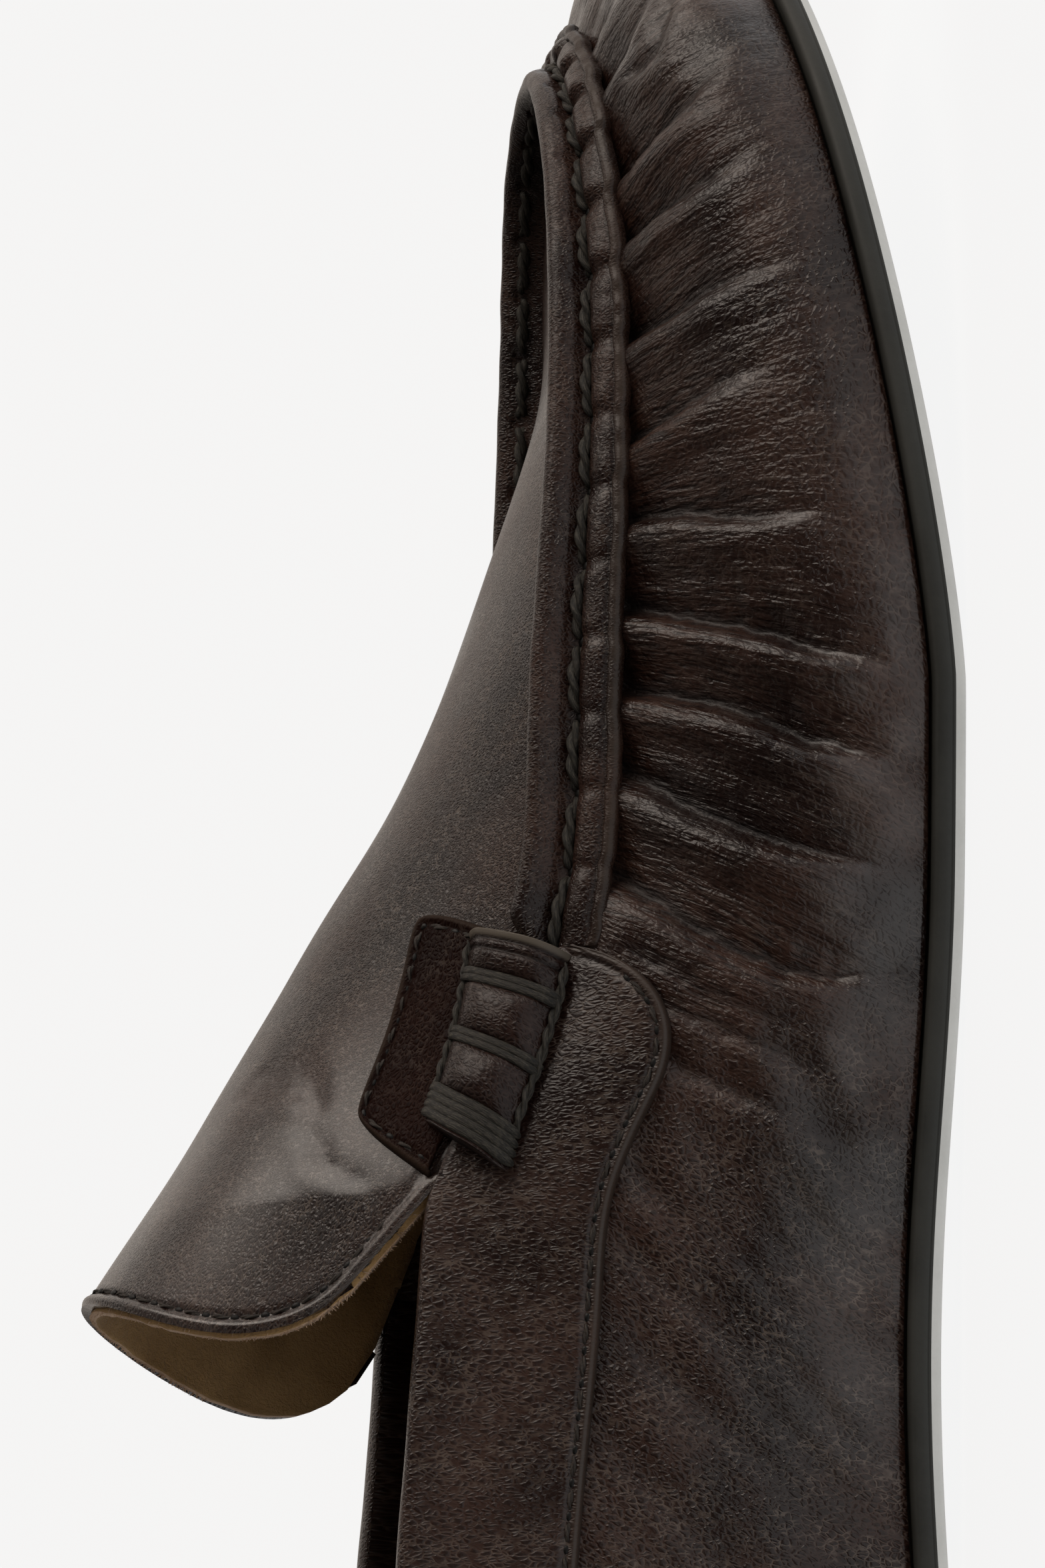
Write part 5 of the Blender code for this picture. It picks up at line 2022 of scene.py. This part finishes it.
    def bind(self, thread: Material) -> None:
        """Make the threads across the roll and along both its edges.

        Args:
            thread: Material of the threads.
        """
        bm = bmesh.new()
        for number, binding in enumerate(self.bindings):
            cord = Thread(width=1.1 * binding.width, plies=1, sides=10, flat=0.72)
            for strand in range(binding.strands):
                shift = (strand - (binding.strands - 1) / 2.0) * 0.92 * binding.width / self.length
                place = min(binding.along + shift, 1.0)
                ring, _ = self.section(place, float(self.puff(np.array(place))))
                path = Spline(self.knots, ring, closed=True)(np.linspace(*self.bound_part, 36))
                out = unit(path - ring.mean(axis=0))
                cord.lay(bm, path + out * 0.42 * binding.width, out, phase=1.3 * number + 2.1 * strand)
        cord = Thread(width=1.15, plies=2, twist=4.2, sides=8)
        along = np.linspace(*self.edge_part, 90)
        sections = [self.section(a, float(self.puff(np.array(a)))) for a in along]
        stand = np.stack([middle for _, middle in sections])
        for first, second, across in ((0, 1, 5), (6, 5, 1)):
            edge = np.stack([ring[first] * 0.25 + ring[second] * 0.75 for ring, _ in sections])
            out = unit(np.stack([ring[second] - ring[across] for ring, _ in sections]))
            cord.lay(bm, edge + out * 0.55, stand)
        add_piece("bindings_" + self.side.name.lower(), bm, [thread], [])


@dataclass
class CollarBand:
    """Band round the collar, from one roll round the heel to the other, folded in over the topline."""

    front_y: float = 137.0
    width: float = 18.5
    heel_narrowing: float = 2.5
    corner: float = 15.0
    columns: int = 460
    outer_rows: int = 34
    fold_rows: int = 9
    inner_rows: int = 6
    inner_reach: float = 9.0
    wall: float = 1.8
    edge: StitchedEdge = StitchedEdge(1.05, 0.55, 1.25, 0.12, 0.1, 0.65, 0.4, 0.24)
    chart_shift: float = 2000.0
    stitch_ends: int = 8
    backing: float = 0.35
    fold_rise: float = 0.75
    inner_gap: float = 0.3

    def places(self) -> Array:
        """Places round the shoe from the medial front to the lateral front, past 1 on the lateral side."""
        lateral, medial = (float(LAST.rim_t(LAST.k_at(self.front_y, side), side)) for side in Side)
        share = 0.5 + 0.5 * drawn(np.linspace(-1.0, 1.0, self.columns), 0.45)
        return medial + (1.0 + lateral - medial) * share

    def drop(self, t: Array) -> Array:
        """How far the band reaches down from the rim, with its round front corners.

        Args:
            t: Places round the shoe.

        Returns:
            One distance for each place.
        """
        rim_y = LAST.rim_y(t)
        width = self.width - self.heel_narrowing * (1.0 - np.minimum(rim_y / self.front_y, 1.0))
        behind = np.clip((self.front_y - rim_y) / self.corner, 0.0, 1.0)
        return width * np.sqrt(1.0 - (1.0 - behind) ** 2)

    def build(self, leather: Material, sewing: Sequence[Material]) -> None:
        """Make the band and its stitches.

        Args:
            leather: Material of the band.
            sewing: Materials of the stitches and their holes.
        """
        t = self.places()
        drop = self.drop(t)
        f = shares(self.outer_rows)
        f = 1.0 - (0.45 * f + 0.55 * f**2.2)
        rows, nears, charts = [], [], []
        lower_edge = LAST.wall_at(t, drop)[0]
        round_shoe = t * LAST.girth + self.chart_shift
        for part in f:
            down = np.maximum(drop * part, 0.0)
            point, normal = LAST.wall_at(t, down)
            near = np.min(np.linalg.norm(point[:, None] - lower_edge[None], axis=2), axis=1)
            rows.append(point + normal * self.edge.lift(near)[:, None])
            nears.append(near)
            charts.append(np.stack([round_shoe, down], axis=1))
        rim, normal = LAST.wall_at(t, 0.0)
        lower, _ = LAST.wall_at(t, 1.0)
        upwards = unit(rim - lower)
        free = 1.0 - smooth(LAST.rim_y(LAST.throat[Side.LATERAL])[0] - 2.5, 114.0, LAST.rim_y(t))
        outer = rows[-1]
        inner_lift = -(self.wall + self.inner_gap)
        span = (self.edge.lift(nears[-1]) - inner_lift)[:, None]
        for turn in np.linspace(0.0, math.pi, self.fold_rows + 2)[1:-1]:
            over = outer - normal * span * (1.0 - math.cos(turn)) / 2.0
            over = over + upwards * self.fold_rise * math.sin(turn)
            rows.append(outer + (over - outer) * free[:, None])
        for reach in np.linspace(0.0, self.inner_reach, self.inner_rows):
            inside, inner_normal = LAST.wall_at(t, reach)
            inside = inside + inner_normal * inner_lift
            rows.append(outer + (inside - outer) * free[:, None])
        extra = len(rows) - len(nears)
        points = np.stack(rows, axis=1)
        nears = np.stack(nears + [np.full(len(t), 9.0)] * extra, axis=1)
        for number in range(extra):
            charts.append(np.stack([round_shoe, np.full(len(t), -0.6 * (number + 1))], axis=1))
        lumps = 0.1 * rough_field(points, 7.0, 9.2) * (nears > 2.0)
        points = points + grid_normals(points) * lumps[..., None]
        bm = bmesh.new()
        # Crease mask: painted shade in the stitch groove.
        crease = 0.3 * bell(nears - self.edge.seam, 0.3)
        masks = {"crease": crease, "raw": 0.6 * (1.0 - smooth(0.55, 0.95, nears))}
        lay_grid(bm, points, np.stack(charts, axis=1), masks)
        piece = add_piece("collar_overlay", bm, [leather], ["collar_band"])
        give_wall(piece, self.backing)
        line, normals = self.inset_line(t[self.stitch_ends:-self.stitch_ends])
        bm = bmesh.new()
        StitchRow().sew(bm, line, normals)
        add_piece("collar_stitches", bm, sewing, [])

    def inset_line(self, t: Array) -> tuple[Array, Array]:
        """Line of stitches inside the lower edge.

        Args:
            t: Places round the shoe.

        Returns:
            Points and normals.
        """
        edge, normal = LAST.wall_at(t, self.drop(t))
        along = unit(np.gradient(edge, axis=0))
        inwards = unit(np.cross(normal, along))
        rim = LAST.wall_at(t, 0.0)[0]
        inwards = np.where(np.sum(inwards * (rim - edge), axis=1)[:, None] < 0.0, -inwards, inwards)
        return edge + inwards * self.edge.seam + normal * self.edge.lift(self.edge.seam), normal


class Ring(NamedTuple):
    """One loop of a slab's side: how far outside the foot line and how high above the tread."""

    out: float
    height: float


@dataclass
class Slab:
    """Flat layer under the foot that follows the foot line and the tread."""

    name: str
    node: str
    slot: str
    rings: tuple[Ring, ...]
    reflection_below: float = -1.0
    columns: int = 340
    cap_rows: int = 9

    def build(self, materials: Sequence[Material]) -> Piece:
        """Make the slab as one closed skin, from the middle of its underside round to the middle of its top.

        Args:
            materials: Material of the slab, and one for its lower edge where it has one, which paints the
                floor's reflection there.

        Returns:
            The piece.
        """
        half = np.linspace(0.0, LAST.tip, self.columns // 2 + 1)
        other = np.linspace(LAST.tip, 1.0, self.columns // 2 + 1)
        t = np.concatenate([half[:-1], other])
        row = LAST.section(t)
        foot = np.stack([row[:, 0], row[:, 1], np.zeros(len(t))], axis=1)
        out = LAST.outward(t, 0)
        sides = [foot + out * ring.out for ring in self.rings]
        heights = [ring.height for ring in self.rings]

        def caps(edge: Array) -> list[Array]:
            """Loops from the middle line out to an edge."""
            centre = (edge + edge[::-1]) / 2.0
            return [edge + (centre - edge) * f for f in np.linspace(1.0, 0.0, self.cap_rows)[:-1]]

        under, over = caps(sides[0]), caps(sides[-1])[::-1]
        loops = under + sides + over
        levels = [heights[0]] * len(under) + heights + [heights[-1]] * len(over)
        for loop, level in zip(loops, levels):
            loop[:, 2] = LAST.tread(loop[:, 1]) + level
        points = np.stack(loops, axis=1)
        bm = bmesh.new()
        lay_grid(bm, points, masks={"level": np.broadcast_to(np.array(levels)[None], points.shape[:2])})
        if len(materials) > 1:
            layer = bm.verts.layers.float["level"]
            for face in bm.faces:
                # Faces low on the sole's edge take the pale painted reflection of the floor.
                if max(vert[layer] for vert in face.verts) <= self.reflection_below:
                    face.material_index = 1
        return add_piece(self.name, bm, materials, [self.node])


class Lobe(NamedTuple):
    """One soft distant light: its direction, the cosines where it starts and is full, and its strength."""

    name: str
    direction: tuple[float, float, float]
    start: float
    full: float
    strength: float


LOBES = (
    Lobe("main", (-0.22, 0.78, 0.56), 0.62, 0.9, 0.62),
    Lobe("far", (-1.0, 0.3, 0.2), 0.6, 0.95, 0.55),
    Lobe("key", (0.318, 0.786, 0.53), 0.88, 0.975, 4.4),
    Lobe("front", (0.94, -0.34, 0.0), 0.9, 0.985, 0.8),
    Lobe("top", (0.0, 0.0, 1.0), 0.8, 0.95, 0.25),
)


@dataclass
class Studio:
    """Pale floor, soft light and the camera, which is rolled so that the toe points up in the picture."""

    azimuth: float = -13.5
    elevation: float = 5.3
    distance: float = 1.0
    target: tuple[float, float, float] = (0.015, 0.0279, 0.042)
    pixels_per_metre: float = 14700.0
    picture_height: float = 2352.0
    sensor: float = 36.0
    floor_size: float = 30.0
    floor_colour: Colour = (0.10, 0.10, 0.10)
    floor_glow: float = 0.85
    fill_light: float = 0.06
    light_colour: Colour = (1.0, 0.9, 0.81)

    def back(self) -> Array:
        """Direction from the shoe to the camera."""
        a, e = math.radians(self.azimuth), math.radians(self.elevation)
        return np.array([math.cos(e) * math.cos(a), math.cos(e) * math.sin(a), math.sin(e)])

    def place_camera(self) -> None:
        """Make the camera at the photograph's viewing angle."""
        back = self.back()
        up = np.array([0.0, 1.0, 0.0])
        up = unit(up - back * (up @ back))
        right = np.cross(-back, up)
        data = bpy.data.cameras.new("camera")
        data.sensor_fit = "VERTICAL"
        data.sensor_height = self.sensor
        data.lens = self.pixels_per_metre * self.distance / self.picture_height * self.sensor
        data.clip_start = 0.05
        camera = bpy.data.objects.new("camera", data)
        bpy.context.scene.collection.objects.link(camera)
        place = np.array(self.target) + back * self.distance
        rows = [[right[i], up[i], back[i], place[i]] for i in range(3)]
        camera.matrix_world = Matrix(rows + [[0.0, 0.0, 0.0, 1.0]])
        bpy.context.scene.camera = camera

    def lay_floor(self) -> None:
        """Make the floor."""
        bm = bmesh.new()
        bmesh.ops.create_grid(bm, x_segments=1, y_segments=1, size=self.floor_size)
        mesh = bpy.data.meshes.new("floor")
        bm.to_mesh(mesh)
        bm.free()
        material, _, shader = new_material("floor")
        set_values(shader, Base_Color=(*self.floor_colour, 1.0), Roughness=1.0, Specular_IOR_Level=0.0)
        set_values(shader, Emission_Color=(1.0, 1.0, 1.0, 1.0), Emission_Strength=self.floor_glow)
        mesh.materials.append(material)
        floor = bpy.data.objects.new("floor", mesh)
        bpy.context.scene.collection.objects.link(floor)

    def hang_lights(self) -> None:
        """Make the soft light that comes from the world's lobes and its even fill."""
        world = bpy.data.worlds.new("studio")
        bpy.context.scene.world = world
        world.use_nodes = True
        tree = Tree(world.node_tree)
        way = tree.add("TexCoord").outputs["Generated"]
        total = self.fill_light
        for lobe in LOBES:
            aim = tuple(unit(np.array(lobe.direction)).tolist())
            facing = tree.add("VectorMath", {"operation": "DOT_PRODUCT"}, i0=way, i1=aim).outputs["Value"]
            total = tree.math("ADD", tree.ramp(facing, lobe.start, lobe.full, 0.0, lobe.strength), total)
        background = world.node_tree.nodes["Background"]
        tree.join(total, background, "Strength")
        set_values(background, Color=(*self.light_colour, 1.0))
        bpy.context.scene.view_settings.view_transform = "Standard"

    def build(self) -> None:
        """Make the whole studio."""
        self.place_camera()
        self.lay_floor()
        self.hang_lights()


# Darker base for the tab and the roll; on the tab it is painted shade that stands in for its tilt away from
# the light.
DARK_AND_SHADED = {"deep": (0.0065, 0.0022, 0.0017), "warm": (0.017, 0.0064, 0.0042)}
VAMP_HIDE = LeatherFinish("vamp_leather", cells=1.75, pebble_depth=0.15)
APRON_HIDE = LeatherFinish("apron_leather", cells=2.7, stretch=0.95, pebble_depth=0.12)
SEAM_HIDE = LeatherFinish("seam_leather", cells=2.5, net_glint_share=0.25, gloss=0.2)
# Roll hide: its raw colour, pale grey on the roll's front edge, is partly the bare cut edge and partly a
# painted highlight for the light that falls on it.
ROLL_HIDE = LeatherFinish(
    "roll_leather", cells=2.1, net_glint_share=0.2, gloss=0.17, raw=(0.07, 0.058, 0.045), **DARK_AND_SHADED
)
TAB_HIDE = LeatherFinish(
    "tab_leather", cells=2.4, stretch=0.6, gloss=0.03, coat=0.0, net_glint_share=0.2, **DARK_AND_SHADED
)
BAND_HIDE = LeatherFinish("band_leather", cells=2.3, stretch=0.45, pebble_depth=0.08)
QUARTER_LINING = LeatherFinish("quarter_lining", deep=(0.008, 0.004, 0.003), warm=(0.014, 0.007, 0.005))
FLESH_SIDE = SuedeFinish("flesh_side")
RAW_FRINGE = SuedeFinish("raw_fringe", low=(0.38, 0.235, 0.14), high=(0.68, 0.48, 0.33))
SOCK = SuedeFinish("sock", low=(0.16, 0.10, 0.045), high=(0.28, 0.18, 0.085), depth=0.12)
SOLE_RUBBER = RubberFinish("sole_rubber")
# Pale grey on the sole's lower bevel: a painted reflection of the bright floor.
SOLE_PAINTED_REFLECTION = RubberFinish("sole_painted_reflection", low=(0.42, 0.42, 0.40), high=(0.55, 0.55, 0.53))
HOLE_SHADOW = RubberFinish("hole_shadow", low=(0.0012, 0.001, 0.0009), high=(0.0018, 0.0015, 0.0012))
WAXED_THREAD = ThreadFinish("waxed_thread")
MACHINE_THREAD = ThreadFinish("machine_thread", low=(0.01, 0.0075, 0.006), high=(0.055, 0.043, 0.034))

SOLE_RINGS = (
    Ring(0.0, 0.0), Ring(0.2, 0.06), Ring(0.7, 0.55), Ring(1.2, 1.15), Ring(1.42, 1.42), Ring(1.34, 1.5),
    Ring(1.5, 1.62), Ring(1.53, 2.1), Ring(1.5, 2.75), Ring(1.34, 3.12), Ring(0.95, 3.36),
    Ring(0.3, LAST.sole_thickness),
)
SOLE_REFLECTION_BELOW = 1.2
SOCK_BASE = LAST.sole_thickness + LAST.gap
SOCK_SIDE = (Ring(-2.9, 0.0), Ring(-2.7, 0.2), Ring(-2.7, 1.5), Ring(-2.95, 1.85), Ring(-3.6, 2.0))
SOCK_RINGS = tuple(Ring(ring.out, SOCK_BASE + ring.height) for ring in SOCK_SIDE)


def main() -> None:
    """Build the studio and every part of the shoe in order."""
    logging.basicConfig(level=logging.INFO, format="%(name)s %(message)s")
    Studio().build()
    suede, fringe = FLESH_SIDE.material(), RAW_FRINGE.material()
    thread, hole = WAXED_THREAD.material(), HOLE_SHADOW.material()
    sewing = [MACHINE_THREAD.material(), hole]
    tab_hide, roll_hide = TAB_HIDE.material(), ROLL_HIDE.material()
    UpperWall().build([VAMP_HIDE.material(), suede, QUARTER_LINING.material()])
    apron = Apron()
    apron.build(APRON_HIDE.material(), suede, fringe)
    apron.sew(sewing)
    MoccasinSeam().build(SEAM_HIDE.material(), thread, hole)
    CollarBand().build(BAND_HIDE.material(), sewing)
    for side in Side:
        SaddleTab(side).build(tab_hide, sewing)
        BoundRoll(side).build(roll_hide, thread)
    sole = Slab("rubber_sole", "outsole", "sole_rubber", SOLE_RINGS, SOLE_REFLECTION_BELOW)
    sole.build([SOLE_RUBBER.material(), SOLE_PAINTED_REFLECTION.material()])
    Slab("sock_liner", "insole", "lining_leather", SOCK_RINGS).build([SOCK.material()])


if __name__ == "__main__":
    main()
